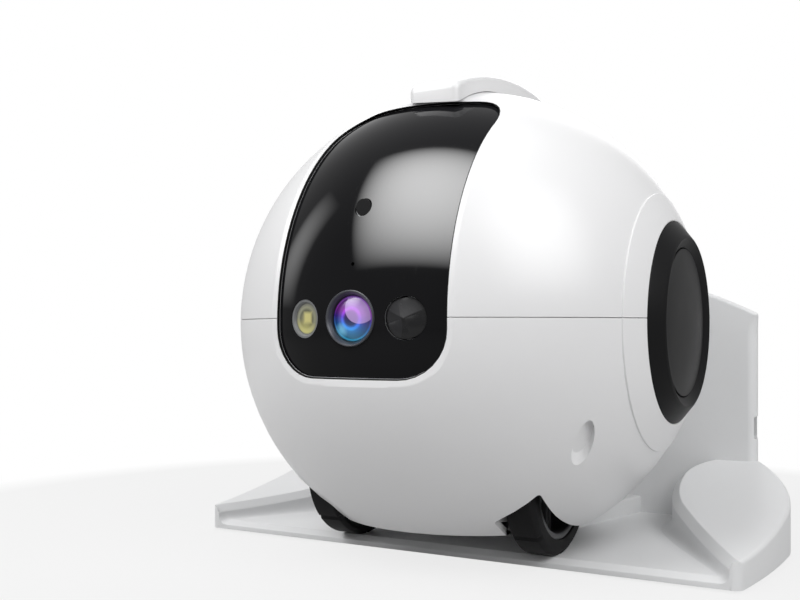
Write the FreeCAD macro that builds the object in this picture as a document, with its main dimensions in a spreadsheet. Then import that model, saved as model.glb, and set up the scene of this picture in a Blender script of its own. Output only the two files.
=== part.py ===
"""Treat tossing pet camera: a round two-wheeled robot on its charging dock, in millimetres, +Z up.

The dock stands on z = 0. Robot pieces are drawn about the ball's centre and dock pieces about the point on the
floor below it, with +X to the robot's left-hand cap, -Y to its front, and each piece's Placement puts it in the
frame of the whole product, whose origin is the middle of the footprint.
"""

import FreeCAD, Part
import math
import os
import re

import Sketcher
from FreeCAD import Placement, Rotation, Vector

doc = FreeCAD.newDocument("treat_camera")
sheet = doc.addObject("Spreadsheet::Sheet", "sizes")


# ---------------------------------------------------------------------------------------------------------------
# Driving dimensions


SIZES = {
    "fit_gap": 0.3,  # clearance between pieces that pass each other
    "running_gap": 0.05,  # radial clearance of a shaft in its bore

    "ball_radius": 100,  # outside of the robot's round shell
    "shell_wall": 2.4,  # wall of both shells
    "ball_bottom": 83,  # flat underside, below the ball's centre
    "seam_level": 1.4,  # joint between the shells, above the centre
    "lip_rise": 3,  # height of the lower shell's inner lip above the seam
    "lip_wall": 1.4,  # wall of that lip

    "cheek_radius": 51.5,  # raised round area on each side
    "cheek_rise": 0.5,  # how far it stands proud
    "ring_radius": 40.2,  # outside of the side ring
    "ring_rim_radius": 33.5,  # front rim of the side ring
    "ring_front": 97,  # rim's distance from the ball's centre
    "ring_seat": 88,  # wall that the ring sits on
    "seat_margin": 5.8,  # that wall beyond the ring
    "cap_seat": 92,  # shelf in the ring that the cap sits on
    "cap_shelf": 3.3,  # width of that shelf
    "cap_radius": 29.3,  # side cap inside the ring
    "cap_edge": 95.2,  # edge of the cap from the ball's centre
    "cap_crown": 2.3,  # rise of the cap's middle over its edge

    "visor_half_width": 36.2,  # front visor
    "visor_low": 20.6,  # visor's lower edge, below the centre
    "visor_top": 87.7,  # visor's upper edge, above the centre
    "visor_low_corner": 18,  # radius of its lower corners
    "visor_top_corner": 12,  # radius of its upper corners
    "visor_wall": 2.6,  # visor thickness
    "visor_reach": 30,  # how far back the visor's top may come, ahead of the centre
    "seal_width": 0.7,  # black gap round the visor
    "seal_depth": 0.8,  # how far the seal lies below the surface
    "carrier_wall": 2,  # carrier behind the visor
    "carrier_margin": 5,  # overlap of the carrier behind the shell
    "carrier_reach": 42,  # rear end of the carrier, ahead of the centre

    "eye_level": 1.2,  # height of camera, lamp and sensor
    "eye_turn": 12.8,  # degrees that lamp and sensor sit to each side
    "bezel_radius": 10.5,  # ring round the camera lens
    "bezel_depth": 0.25,  # that ring's front, below the ball's
    "lens_radius": 8.2,  # camera lens
    "lens_set": 0.8,  # middle of the lens, behind the ball's front
    "lens_dome": 2.2,  # rise of the lens
    "lens_depth": 4.4,  # back of the lens, behind the ball's front
    "barrel_radius": 7.4,  # camera barrel
    "barrel_length": 17,  # camera barrel
    "chip_depth": 5,  # image sensor behind the barrel
    "board_side": 26,  # camera board
    "board_thick": 1.2,  # circuit boards
    "lamp_radius": 7.2,  # lamp window
    "dome_radius": 7.8,  # motion sensor dome
    "dome_rise": 2.1,  # how far its middle stands out from its edge
    "dome_edge": 1.25,  # that edge, behind the ball's front
    "dome_wall": 1.2,  # motion sensor dome
    "lamp_crown": 0.6,  # rise of the lamp window's middle over its edge
    "lamp_edge": 0.9,  # that edge, behind the ball's front
    "socket_depth": 10,  # length of the lamp's and sensor's sockets
    "pointer_level": 42.2,  # height of the aiming pointer
    "pointer_radius": 3.2,  # pointer tube
    "pointer_length": 12,  # pointer tube
    "mic_level": 20.9,  # height of the microphone
    "mic_radius": 2,  # microphone can
    "mic_hole_radius": 0.7,  # sound hole in the visor

    "screw_x": 71.8,  # shell screws from the middle, across
    "screw_y": 53,  # shell screws from the middle, along
    "screw_well_radius": 4.2,  # screw wells in the lower shell
    "screw_radius": 1.5,  # screw shanks
    "screw_head_radius": 2.8,  # screw heads
    "screw_seat": 12,  # screw seats, below the centre
    "screw_length": 18,  # shank length
    "boss_wall": 2,  # walls round screws and pins

    "wheel_radius": 32.5,  # tyre tread
    "wheel_y": -20,  # axle, behind the centre
    "wheel_z": -60.6,  # axle, above the centre
    "tyre_inner": 39,  # tyre's inner side from the middle
    "tyre_width": 12.7,  # tyre
    "tyre_shoulder": 1.5,  # chamfer of the tyre's edges
    "tread_count": 32,  # grooves across the tyre's tread
    "tread_groove": 1.6,  # width of such a groove
    "tread_depth": 1,  # depth of such a groove
    "rim_radius": 26.1,  # outside of the rim
    "rim_band": 2.6,  # rim's ring
    "hub_radius": 6.5,  # hub
    "spoke_count": 6,  # openings between the spokes
    "axle_radius": 1.5,  # axle
    "well_clear": 2.4,  # room between tyre and wheel well, inside
    "well_outer": 55.3,  # outer wall of the wheel well from the middle
    "well_front": 53.7,  # front wall of the wheel well
    "well_back": 14.5,  # rear wall of the wheel well
    "well_wall": 2,  # walls of the wheel wells

    "castor_y": 30,  # castor swivel behind the centre
    "castor_trail": 5,  # castor axle behind its swivel
    "castor_radius": 9,  # castor wheel
    "castor_width": 8,  # castor wheel
    "castor_pin": 1.25,  # castor axle radius
    "cup_radius": 17,  # recess over the castor
    "cup_top": 67,  # roof of that recess, below the centre
    "stem_radius": 2,  # castor swivel stem
    "stem_length": 9,  # castor swivel stem
    "fork_wall": 2.5,  # castor fork cheeks

    "plate_x": 27,  # charging contacts from the middle, across
    "plate_y": 42,  # charging contacts, behind the centre
    "plate_radius": 4.5,  # charging plates on the robot
    "plate_thick": 1,  # charging plates

    "chassis_radius": 80,  # round chassis plate
    "chassis_thick": 2.5,  # chassis plate
    "standoff": 4.5,  # height of the main board's posts
    "board_half_width": 46,  # main board across
    "board_front": -70,  # main board's front edge
    "board_back": -40,  # main board's rear edge
    "cell_radius": 9.2,  # battery cell
    "cell_length": 65,  # battery cell
    "motor_length": 15,  # wheel motor's can
    "gearbox_length": 9,  # wheel motor's gearbox
    "gearbox_width": 12,  # wheel motor's gearbox
    "gearbox_height": 10,  # wheel motor's gearbox
    "speaker_radius": 18,  # speaker
    "speaker_depth": 11,  # speaker

    "lid_side": -5,  # lid's right-hand side
    "lid_width": 22.8,  # lid
    "lid_front": -46.5,  # lid's front
    "lid_wall": 2,  # lid's wall
    "lid_arch_radius": 176.9,  # side profile of the lid's top
    "lid_arch_y": 16.6,  # centre of that profile
    "lid_arch_z": -69.7,  # centre of that profile
    "lid_nose": 4,  # rounding of the lid's front edge
    "lid_edge": 2.5,  # rounding of the lid's side and front edges
    "lid_rear": 45,  # where the lid's tail starts
    "tail_radius": 40,  # rounding of the lid's tail
    "hinge_y": 72,  # lid hinge
    "knuckle_radius": 4.4,  # lid hinge
    "hinge_pin_radius": 1.5,  # lid hinge pin
    "ear_width": 4,  # hinge ears on the shell

    "duct_wall": 1.6,  # walls of chute and hopper
    "chute_front": -37.6,  # launch chute's front
    "chute_back": -4,  # launch chute's back
    "chute_top": 88,  # top of chute and hopper neck
    "paddle_z": -9,  # launch paddle's shaft
    "paddle_thick": 1.6,  # launch paddle
    "paddle_shaft": 2,  # launch paddle's shaft radius
    "neck_back": 51.7,  # back of the hopper's neck
    "hopper_half_width": 30,  # treat hopper
    "hopper_back": 60,  # treat hopper's back
    "hopper_top": 62,  # treat hopper's shoulder
    "hopper_floor": 34,  # top of the hopper's funnel
    "rotor_y": 24,  # treat rotor
    "rotor_z": 8,  # treat rotor
    "rotor_radius": 14,  # treat rotor
    "rotor_width": 26,  # treat rotor
    "rotor_shaft": 2,  # treat rotor's shaft radius
    "pocket_radius": 6,  # treat pockets in the rotor
    "pocket_count": 4,  # treat pockets in the rotor
    "rotor_motor_radius": 9,  # rotor's motor
    "rotor_motor_length": 20,  # rotor's motor

    "button_y": -38,  # power button under the robot, behind the centre
    "button_radius": 4.2,  # power button
    "button_proud": 0.5,  # how far it stands out of the flat underside
    "button_travel": 0.8,  # its travel
    "button_flange": 1.2,  # flange that holds it in, beyond its radius
    "button_lip": 1.6,  # thickness of that flange
    "switch_half": 9,  # half length of the bridge that carries the switch
    "switch_height": 3,  # switch under the bridge

    "foot_height": 0.9,  # dock's rubber feet
    "foot_radius": 7,  # dock's rubber feet
    "tray_top": 5,  # tray surface that the wheels stand on
    "plate_wall": 2,  # dock's bottom plate
    "dock_half_width": 127.5,  # dock at its widest
    "dock_front_width": 122.3,  # half width of the dock's front edge
    "dock_widest": 40,  # where the dock is widest, behind the ball's centre
    "dock_front": -28.5,  # dock's front edge
    "tray_bevel": 3,  # bevel of the tray's front edge
    "pad_front": 11.7,  # pad height at the front
    "pad_rear": 33.5,  # pad height at the column
    "pad_hollow": 420,  # radius of the pads' hollowed top
    "pad_root": 4,  # how far the pads run into the column
    "bay_mouth": 118.3,  # half width of the parking bay at the front
    "bay_throat": 82.6,  # half width where its sides start to curve
    "bay_throat_y": 36.3,  # that place, behind the ball's centre
    "bay_waist": 72.9,  # half width at its narrowest
    "bay_waist_set": 18,  # that place, ahead of the column
    "bay_rear": 83.6,  # half width of the bay's rounded end
    "bay_bevel": 3.2,  # bevel of the pads along the bay
    "column_half_width": 106,  # dock's back column, at its front
    "column_rear_width": 98,  # half width of the column at its rear
    "column_front": 92,  # column's front face
    "column_back": 125,  # column's rear face
    "column_edge": 5.5,  # rounding of the column's upright edges
    "column_shoulder": 103,  # column's height at its sides
    "column_arch": 235,  # radius of the column's arched top
    "column_bevel": 2,  # bevel of the column's top edges
    "cover_front": 106,  # where the column's rear cover starts
    "dock_wall": 2.6,  # column's walls
    "ball_room": 2.5,  # room between ball and column
    "ledge_top": 13,  # top of the contact ledge
    "ledge_front": 36,  # front of the contact ledge
    "ledge_nose": 37.5,  # half width of the ledge's front
    "ledge_root": 50,  # half width of the ledge at the column
    "notch_half_width": 19,  # castor's notch in the ledge
    "notch_back": 54,  # castor's notch in the ledge
    "pin_radius": 1.6,  # charging pins
    "pin_flange": 2.4,  # charging pins' flanges
    "pin_lip": 1.2,  # thickness of those flanges
    "pin_tip_gap": 0.1,  # charging pins below the robot's plates
    "spring_wire": 0.25,  # charging pin spring
    "spring_turns": 5,  # waves of the charging pin's sleeve spring
    "inlet_z": 49,  # power inlet
    "inlet_y": 98.6,  # power inlet
    "inlet_half": 5.4,  # half height of the power inlet
    "inlet_depth": 5.5,  # power inlet's recess
    "jack_radius": 2.85,  # plug bore
    "jack_depth": 9.5,  # plug bore
    "jack_end": 1,  # wall behind the plug bore
    "charger_x": 52,  # charger board's inner edge, across
    "charger_width": 34,  # charger board
    "charger_height": 40,  # charger board's top
    "charger_set": 5,  # charger board behind the column's front
    "plate_screw_x": 94,  # bottom plate's screws from the middle, across
    "plate_screw_y": 75,  # their middle, behind the ball's centre
    "plate_screw_reach": 40,  # their distance along from there
    "plate_screw_head": 1.2,  # their heads
    "plate_screw_length": 10,  # their shanks
}
for row, (alias, number) in enumerate(SIZES.items(), start=1):
    sheet.set("A%d" % row, str(number))
    sheet.setAlias("A%d" % row, alias)
doc.recompute()

# Measures that several pieces share, as formulas of the driving dimensions
BALL_Y = "(ball_radius - bezel_depth - column_back) / 2"
BALL_Z = "tray_top + wheel_radius - wheel_z"
INSIDE = "ball_radius - shell_wall"
FLOOR_INSIDE = "-ball_bottom + shell_wall"
WELL_INNER = "tyre_inner - well_clear"
WELL_TOP = "wheel_z + wheel_radius + well_clear"
CHASSIS_Z = "wheel_z + wheel_radius + well_clear + well_wall"
BOARD_Z = CHASSIS_Z + " + chassis_thick + standoff"
SLOT_LOW = "lid_side + lid_wall"
SLOT_HIGH = "lid_side + lid_width - lid_wall"
HINGE_R = "ball_radius + knuckle_radius + fit_gap"
HINGE_Z = "sqrt((" + HINGE_R + ")^2 - hinge_y^2)"
CASTOR_Z = "wheel_z - wheel_radius + castor_radius"
ROTOR_MID = "lid_side + lid_width / 2"
DUCT_LOW = SLOT_LOW + " + fit_gap"
DUCT_HIGH = SLOT_HIGH + " - fit_gap"
PIN_TIP = BALL_Z + " - ball_bottom - pin_tip_gap"
PIN_STOP = "ledge_top - shell_wall - 1"
JACK_START = "column_half_width - inlet_depth - jack_depth - jack_end"
CAMERA_BACK = "-ball_radius + lens_depth + barrel_length + chip_depth"


def linked(formula):
    """Points each alias in a formula at the sheet."""
    word = lambda found: "sizes." + found.group() if found.group() in SIZES else found.group()
    return re.sub(r"[a-z][a-z_]*", word, str(formula))


def value(formula):
    """Works a formula out from the sheet."""
    return float(sheet.evalExpression(linked(formula)))


# ---------------------------------------------------------------------------------------------------------------
# Sketches and solids

TURNS = {
    "x": Rotation(Vector(0, 1, 0), 90),
    "y": Rotation(Vector(1, 0, 0), -90),
    "z": Rotation(),
}
PLANES = {
    "xy": Rotation(),
    "xz": Rotation(Vector(1, 0, 0), 90),
    "yz": Rotation(Vector(1, 1, 1), 120),
}
PLACES = {}


def bind(obj, **formulas):
    """Binds properties of an object to formulas."""
    for name, formula in formulas.items():
        obj.setExpression(name, linked(formula))
    return obj


def place(obj, x, y, z):
    """Binds an object's position to formulas."""
    PLACES[obj.Name] = (x, y, z)
    for axis, formula in zip("xyz", (x, y, z)):
        obj.setExpression(".Placement.Base." + axis, linked(formula))
    return obj


def tie(sketch, kind, geometry, end, formula):
    """Adds one dimension from the sketch's origin, or a radius, bound to a formula."""
    if kind == "Radius":
        constraint = Sketcher.Constraint(kind, geometry, value(formula))
    else:
        constraint = Sketcher.Constraint(kind, -1, 1, geometry, end, value(formula))
    index = sketch.addConstraint(constraint)
    sketch.setExpression("Constraints[%d]" % index, linked(formula))


def arc_between(start, stop, radius):
    """The shorter arc between two points; it turns to the left where the radius is positive."""
    chord = stop - start
    across = Vector(-chord.y, chord.x, 0).normalize()
    height = math.sqrt(max(radius**2 - chord.Length**2 / 4, 0))
    centre = (start + stop) / 2 + across * math.copysign(height, radius)
    ends = (start, stop) if radius > 0 else (stop, start)
    angles = [math.atan2(end.y - centre.y, end.x - centre.x) for end in ends]
    return Part.ArcOfCircle(Part.Circle(centre, Vector(0, 0, 1), abs(radius)), *angles)


def outline(sketch, corners):
    """Draws a closed outline through corners (x, y) or (x, y, radius).

    A radius makes the side that leaves its corner an arc. It is positive when the arc turns to the left.
    """
    points = [Vector(value(corner[0]), value(corner[1]), 0) for corner in corners]
    sides = []
    for start, stop, corner in zip(points, points[1:] + points[:1], corners):
        radius = value(corner[2]) if len(corner) == 3 else 0
        shape = arc_between(start, stop, radius) if radius else Part.LineSegment(start, stop)
        number = sketch.addGeometry(shape, False)
        sides.append((number, 2, 1) if radius < 0 else (number, 1, 2))
    for (number, _, last), (after, first, _) in zip(sides, sides[1:] + sides[:1]):
        sketch.addConstraint(Sketcher.Constraint("Coincident", number, last, after, first))
    for (number, first, _), corner in zip(sides, corners):
        tie(sketch, "DistanceX", number, first, corner[0])
        tie(sketch, "DistanceY", number, first, corner[1])
        if len(corner) == 3:
            tie(sketch, "Radius", number, 0, "abs(%s)" % corner[2])
    return sketch


def circle(sketch, x, y, radius):
    """Draws a circle."""
    shape = Part.Circle(Vector(value(x), value(y), 0), Vector(0, 0, 1), value(radius))
    number = sketch.addGeometry(shape, False)
    tie(sketch, "DistanceX", number, 3, x)
    tie(sketch, "DistanceY", number, 3, y)
    tie(sketch, "Radius", number, 0, radius)
    return sketch


def body_sketch(body, name, plane, offset="0"):
    """Makes a sketch on one of a body's own origin planes, shifted along its normal."""
    sketch = body.newObject("Sketcher::SketchObject", name)
    role = plane.upper() + "_Plane"
    support = [item for item in body.Origin.OriginFeatures if item.Role == role][0]
    sketch.AttachmentSupport = [(support, "")]
    sketch.MapMode = "FlatFace"
    sketch.setExpression(".AttachmentOffset.Base.z", linked(offset))
    return sketch


def crown(radius, rise):
    """The radius of the arc over a flat disc's edge that rises by a given height in its middle."""
    return "((%s)^2 + (%s)^2) / (2 * (%s))" % (radius, rise, rise)


def new_body(name):
    return doc.addObject("PartDesign::Body", name)


def pad(body, sketch, length):
    """Pads a sketch along its normal."""
    feature = body.newObject("PartDesign::Pad", sketch.Name + "_pad")
    feature.Profile = sketch
    return bind(feature, Length=length)


def pocket(body, sketch, length):
    """Cuts a sketch away along its normal, where a pad of that length would stand."""
    feature = body.newObject("PartDesign::Pocket", sketch.Name + "_pocket")
    feature.Profile = sketch
    feature.Reversed = True
    return bind(feature, Length=length)


def turned(name, plane, corners, axis):
    """A body turned about the sketch's H_Axis or V_Axis."""
    body = new_body(name)
    sketch = outline(body_sketch(body, name + "_profile", plane), corners)
    feature = body.newObject("PartDesign::Revolution", name + "_turn")
    feature.Profile = sketch
    feature.ReferenceAxis = (sketch, [axis])
    feature.Angle = 360
    return body


def around_x(body, feature, count):
    """Repeats a body's feature evenly about its X axis."""
    pattern = body.newObject("PartDesign::PolarPattern", feature.Name + "_ring")
    pattern.Originals = [feature]
    axis = [item for item in body.Origin.OriginFeatures if item.Role == "X_Axis"][0]
    pattern.Axis = (axis, [""])
    pattern.Angle = 360
    bind(pattern, Occurrences=count)
    body.Tip = pattern
    return pattern


def edges(shape, wanted):
    """Names the edges of a shape that pass a test."""
    return ["Edge%d" % number for number, edge in enumerate(shape.Edges, 1) if wanted(edge)]


def box(name, low, high):
    """A box between two corners."""
    solid = doc.addObject("Part::Box", name)
    length, width, height = ["(%s) - (%s)" % pair for pair in zip(high, low)]
    return place(bind(solid, Length=length, Width=width, Height=height), *low)


def rod(name, axis, radius, start, length):
    """A cylinder along +X, +Y or +Z from its start point."""
    solid = doc.addObject("Part::Cylinder", name)
    solid.Placement = Placement(Vector(), TURNS[axis])
    return place(bind(solid, Radius=radius, Height=length), *start)


def eye_rod(name, radius, start, length, turn):
    """A cylinder at eye level that points out of the ball's front, turned to one side.

    Its start is a distance from the ball's upright axis.
    """
    solid = doc.addObject("Part::Cylinder", name)
    outwards = Rotation(Vector(0, 0, 1), value(turn)) * Rotation(Vector(1, 0, 0), 90)
    solid.Placement = Placement(Vector(), outwards)
    bind(solid, Radius=radius, Height=length)
    across, along = "(%s) * sin(%s)" % (start, turn), "-(%s) * cos(%s)" % (start, turn)
    return place(solid, across, along, "eye_level")


def ball(name, radius, height="0"):
    """A sphere on the ball's upright axis."""
    solid = doc.addObject("Part::Sphere", name)
    return place(bind(solid, Radius=radius), "0", "0", height)


def prism(name, plane, corners, start, length):
    """An outline carried straight along its plane's normal, from a start distance along it."""
    sketch = doc.addObject("Sketcher::SketchObject", name + "_outline")
    sketch.Placement = Placement(Vector(), PLANES[plane])
    outline(sketch, corners)
    place(sketch, *{
        "xy": ("0", "0", start),
        "xz": ("0", "-(%s)" % start, "0"),
        "yz": (start, "0", "0"),
    }[plane])
    solid = doc.addObject("Part::Extrusion", name)
    solid.Base = sketch
    solid.DirMode = "Custom"
    solid.Dir = PLANES[plane].multVec(Vector(0, 0, 1))
    solid.Solid = True
    return bind(solid, LengthFwd=length)


def joined(name, *parts):
    solid = doc.addObject("Part::MultiFuse", name)
    solid.Shapes = list(parts)
    solid.Refine = True
    return solid


def shared(name, *parts):
    solid = doc.addObject("Part::MultiCommon", name)
    solid.Shapes = list(parts)
    return solid


def minus(name, base, *tools):
    solid = doc.addObject("Part::Cut", name)
    solid.Base = base
    solid.Tool = tools[0] if len(tools) == 1 else joined(name + "_tools", *tools)
    return solid


def mirrored(name, make):
    """Joins what make builds for the two sides, given as 1 and -1."""
    return joined(name, make(name + "_a", 1), make(name + "_b", -1))


def cornered(name, make):
    """Joins what make builds for four corners, given as signs across and along."""
    corners = [(1, 1), (1, -1), (-1, 1), (-1, -1)]
    return joined(name, *[make("%s_%d" % (name, n), *signs) for n, signs in enumerate(corners)])


PIECES = []


def piece(label, solid, where="robot", turn="0", at=("0", "0", "0")):
    """Names a sub-part and sets it in the product's frame, turned about the upright and moved to a place."""
    solid.Label = label
    own = PLACES.get(solid.Name, ("0", "0", "0"))
    if turn != "0":
        solid.Placement = Placement(Vector(), Rotation(Vector(0, 0, 1), value(turn)))
        solid.setExpression(".Placement.Rotation.Angle", linked(turn))
    frame = ("0", BALL_Y, BALL_Z if where == "robot" else "0")
    place(solid, *["(%s) + (%s) + (%s)" % parts for parts in zip(own, at, frame)])
    PIECES.append(solid)


FAR = "3 * ball_radius"
MINUS_FAR = "-3 * ball_radius"

# ---------------------------------------------------------------------------------------------------------------
# Shells


def visor_outline(grow):
    """The visor's outline from the front, grown all round."""
    side, low, top = ["(%s + %s)" % (name, grow) for name in ("visor_half_width", "visor_low", "visor_top")]
    turn_low, turn_top = ["(%s + %s)" % (name, grow) for name in ("visor_low_corner", "visor_top_corner")]
    return [
        ("-%s + %s" % (side, turn_low), "-" + low),
        ("%s - %s" % (side, turn_low), "-" + low, turn_low),
        (side, "-%s + %s" % (low, turn_low)),
        (side, "%s - %s" % (top, turn_top), turn_top),
        ("%s - %s" % (side, turn_top), top),
        ("-%s + %s" % (side, turn_top), top, turn_top),
        ("-" + side, "%s - %s" % (top, turn_top)),
        ("-" + side, "-%s + %s" % (low, turn_low), turn_low),
    ]


def visor_prism(name, grow, reach="visor_reach"):
    """The visor's outline carried out of the ball's front."""
    return prism(name, "xz", visor_outline(grow), reach, FAR)


def hollow_ball(name, outside, inside):
    return minus(name, ball(name + "_outside", outside), ball(name + "_inside", inside))


def ball_form():
    """The ball with its raised cheeks and flat underside, still solid."""
    reach = rod("cheek_reach", "x", "cheek_radius", (MINUS_FAR, "0", "0"), "6 * ball_radius")
    cheeks = shared("cheeks", ball("cheek_ball", "ball_radius + cheek_rise"), reach)
    whole = joined("whole_ball", ball("round_ball", "ball_radius"), cheeks)
    below = box("below", (MINUS_FAR, MINUS_FAR, MINUS_FAR), (FAR, FAR, "-ball_bottom"))
    return minus("ball_form", whole, below)


def open_shell(form):
    """Both shells as one: the hollow ball with walls behind its side rings and its front opening."""
    above_floor = box("above_floor", (MINUS_FAR, MINUS_FAR, FLOOR_INSIDE), (FAR, FAR, FAR))
    hollow = shared("hollow", ball("hollow_ball", INSIDE), above_floor)

    def seat(name, side):
        start = "ring_seat - shell_wall" if side > 0 else "-ring_seat"
        return rod(name, "x", "ring_radius + seat_margin", (start, "0", "0"), "shell_wall")

    def recess(name, side):
        start = "ring_seat" if side > 0 else "-4 * ball_radius"
        length = FAR if side > 0 else "4 * ball_radius - ring_seat"
        return rod(name, "x", "ring_radius + running_gap", (start, "0", "0"), length)

    shell = joined("seated_shell", minus("bare_shell", form, hollow), mirrored("ring_seats", seat))
    opening = visor_prism("visor_opening", "seal_width", "visor_reach - 1")
    return minus("open_shell", shell, mirrored("ring_recesses", recess), opening)


def upper_shell(shell):
    """The top half, with the lid's slot, hinge ears and four screw bosses."""
    half = shared("upper_half", shell, box("over_seam", (MINUS_FAR, MINUS_FAR, "seam_level"), (FAR, FAR, FAR)))

    def boss(name, across, along):
        start = ("%d * screw_x" % across, "%d * screw_y" % along, "-screw_seat + shell_wall")
        return rod(name, "z", "screw_radius + boss_wall", start, "ball_radius")

    def pilot(name, across, along):
        start = ("%d * screw_x" % across, "%d * screw_y" % along, "-screw_seat")
        return rod(name, "z", "screw_radius", start, "screw_length")

    bosses = shared("bosses", cornered("boss", boss), ball("boss_limit", "ball_radius - shell_wall / 2"))

    def ear(name, side):
        start = "lid_side - fit_gap - ear_width" if side < 0 else "lid_side + lid_width + fit_gap"
        end = start + " + ear_width"
        knuckle = rod(name + "_knuckle", "x", "knuckle_radius", (start, "hinge_y", HINGE_Z), "ear_width")
        low = (start, "hinge_y - knuckle_radius", HINGE_Z + " - 3 * knuckle_radius")
        return joined(name, knuckle, box(name + "_root", low, (end, "hinge_y + knuckle_radius", HINGE_Z)))

    ears = minus("ears", mirrored("ear", ear), ball("ear_limit", "ball_radius - shell_wall / 2"))
    low = (SLOT_LOW, "chute_front - fit_gap", "ball_radius / 2")
    slot = box("lid_slot", low, (SLOT_HIGH, "neck_back + fit_gap", FAR))
    start = ("lid_side - 2 * ear_width", "hinge_y", HINGE_Z)
    bore = rod("ear_bore", "x", "hinge_pin_radius", start, "lid_width + 4 * ear_width")
    whole = joined("upper_whole", half, bosses, ears)
    piece("upper_shell", minus("upper_shell", whole, cornered("pilot", pilot), slot, bore))


def wheel_well(name, grow, low):
    """The space round both wheels, grown by a wall, down to a level."""

    def side_well(title, side):
        inner, outer = "%s - %s" % (WELL_INNER, grow), "well_outer + " + grow
        across = (inner, outer) if side > 0 else ("-(%s)" % outer, "-(%s)" % inner)
        lower = (across[0], "-well_front - " + grow, low)
        return box(title, lower, (across[1], "well_back + " + grow, WELL_TOP + " + " + grow))

    return mirrored(name, side_well)


def lower_shell(shell, form):
    """The bottom half, with wheel wells, castor cup, screw wells and the lip that aligns the upper shell."""
    half = shared("lower_half", shell, box("under_seam", (MINUS_FAR, MINUS_FAR, MINUS_FAR), (FAR, FAR, "seam_level")))
    lip_low = shared(
        "lip_root",
        hollow_ball("lip_root_ball", "ball_radius - shell_wall / 2", INSIDE + " - lip_wall"),
        box("lip_root_band", (MINUS_FAR, MINUS_FAR, "seam_level - lip_rise"), (FAR, FAR, "seam_level")),
    )
    lip_high = shared(
        "lip_edge",
        hollow_ball("lip_edge_ball", INSIDE + " - fit_gap", INSIDE + " - lip_wall"),
        box("lip_edge_band", (MINUS_FAR, MINUS_FAR, "seam_level - lip_rise"), (FAR, FAR, "seam_level + lip_rise")),
    )
    past_seats = rod("past_seats", "x", "ring_radius + seat_margin + fit_gap", (MINUS_FAR, "0", "0"), "6 * ball_radius")
    past_carrier = visor_prism("past_carrier", "carrier_margin + fit_gap", "carrier_reach - 1")
    lip = minus("lip", joined("lip_whole", lip_low, lip_high), past_seats, past_carrier)

    def tower(name, across, along):
        start = ("%d * screw_x" % across, "%d * screw_y" % along, "-ball_radius")
        return rod(name, "z", "screw_well_radius + boss_wall", start, "ball_radius - screw_seat + shell_wall")

    def drill(name, across, along):
        x, y = "%d * screw_x" % across, "%d * screw_y" % along
        well = rod(name + "_well", "z", "screw_well_radius", (x, y, "-ball_radius"), "ball_radius - screw_seat")
        hole = rod(name + "_hole", "z", "screw_radius + 2 * running_gap", (x, y, "-2 * screw_seat"), "2 * screw_seat")
        return joined(name, well, hole)

    cup = rod("cup_wall", "z", "cup_radius + shell_wall", ("0", "castor_y", "-ball_bottom"), "ball_bottom - cup_top + shell_wall")
    stem = rod("stem_boss", "z", "stem_radius + boss_wall", ("0", "castor_y", "-cup_top"), "stem_length + boss_wall")
    inner = joined("lower_inner", wheel_well("well_walls", "well_wall", "-ball_radius"), cornered("tower", tower), cup, stem)
    added = shared("lower_added", inner, form)
    cup_room = rod("cup_room", "z", "cup_radius", ("0", "castor_y", "-ball_radius"), "ball_radius - cup_top")
    stem_bore = rod("stem_bore", "z", "stem_radius + running_gap", ("0", "castor_y", "-ball_radius"), "ball_radius")
    axle_hole = rod("axle_hole", "x", "axle_radius + fit_gap", ("-well_outer", "wheel_y", "wheel_z"), "2 * well_outer")

    def plate_room(name, side):
        start = ("%d * plate_x" % side, "plate_y", "-ball_bottom - plate_thick")
        return rod(name, "z", "plate_radius", start, "2 * plate_thick")

    button = rod("button_hole", "z", "button_radius + fit_gap", ("0", "button_y", "-ball_radius"), "ball_radius / 2")
    whole = joined("lower_whole", half, lip, added)
    cuts = [
        wheel_well("well_rooms", "0", "-2 * ball_radius"),
        cornered("drill", drill),
        cup_room,
        stem_bore,
        axle_hole,
        mirrored("plate_rooms", plate_room),
        button,
    ]
    piece("lower_shell", minus("lower_shell", whole, *cuts))


def shell_screws():
    """Four screws that hold the shells together from below."""

    def screw(name, across, along):
        x, y = "%d * screw_x" % across, "%d * screw_y" % along
        head = rod(name + "_head", "z", "screw_head_radius", (x, y, "-screw_seat - shell_wall"), "shell_wall")
        return joined(name, head, rod(name + "_shank", "z", "screw_radius", (x, y, "-screw_seat"), "screw_length"))

    piece("shell_screws", cornered("shell_screws", screw))


def side_trim():
    """The ring and cap on each side; the pair on -X is the same turned half round."""
    for label, turn in (("left", "0"), ("right", "180")):
        ring = turned(
            "side_ring_" + label,
            "xy",
            [
                ("ring_seat", "cap_radius - cap_shelf"),
                ("ring_seat", "ring_radius"),
                ("ring_front - 5.2", "ring_radius"),
                ("ring_front - 0.5", "ring_rim_radius + 0.9"),
                ("ring_front", "ring_rim_radius"),
                ("ring_front - 0.4", "ring_rim_radius - 0.7"),
                ("cap_edge - 0.4", "cap_radius + fit_gap"),
                ("cap_seat", "cap_radius + fit_gap"),
                ("cap_seat", "cap_radius - cap_shelf"),
            ],
            "H_Axis",
        )
        piece("side_ring_" + label, ring, turn=turn)
        cap = turned(
            "side_cap_" + label,
            "xy",
            [
                ("cap_seat", "0"),
                ("cap_edge + cap_crown", "0", crown("cap_radius", "cap_crown")),
                ("cap_edge", "cap_radius"),
                ("cap_seat", "cap_radius"),
            ],
            "H_Axis",
        )
        piece("side_cap_" + label, cap, turn=turn)


# ---------------------------------------------------------------------------------------------------------------
# Front: visor, camera, lamp, sensor, pointer and microphone


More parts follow.
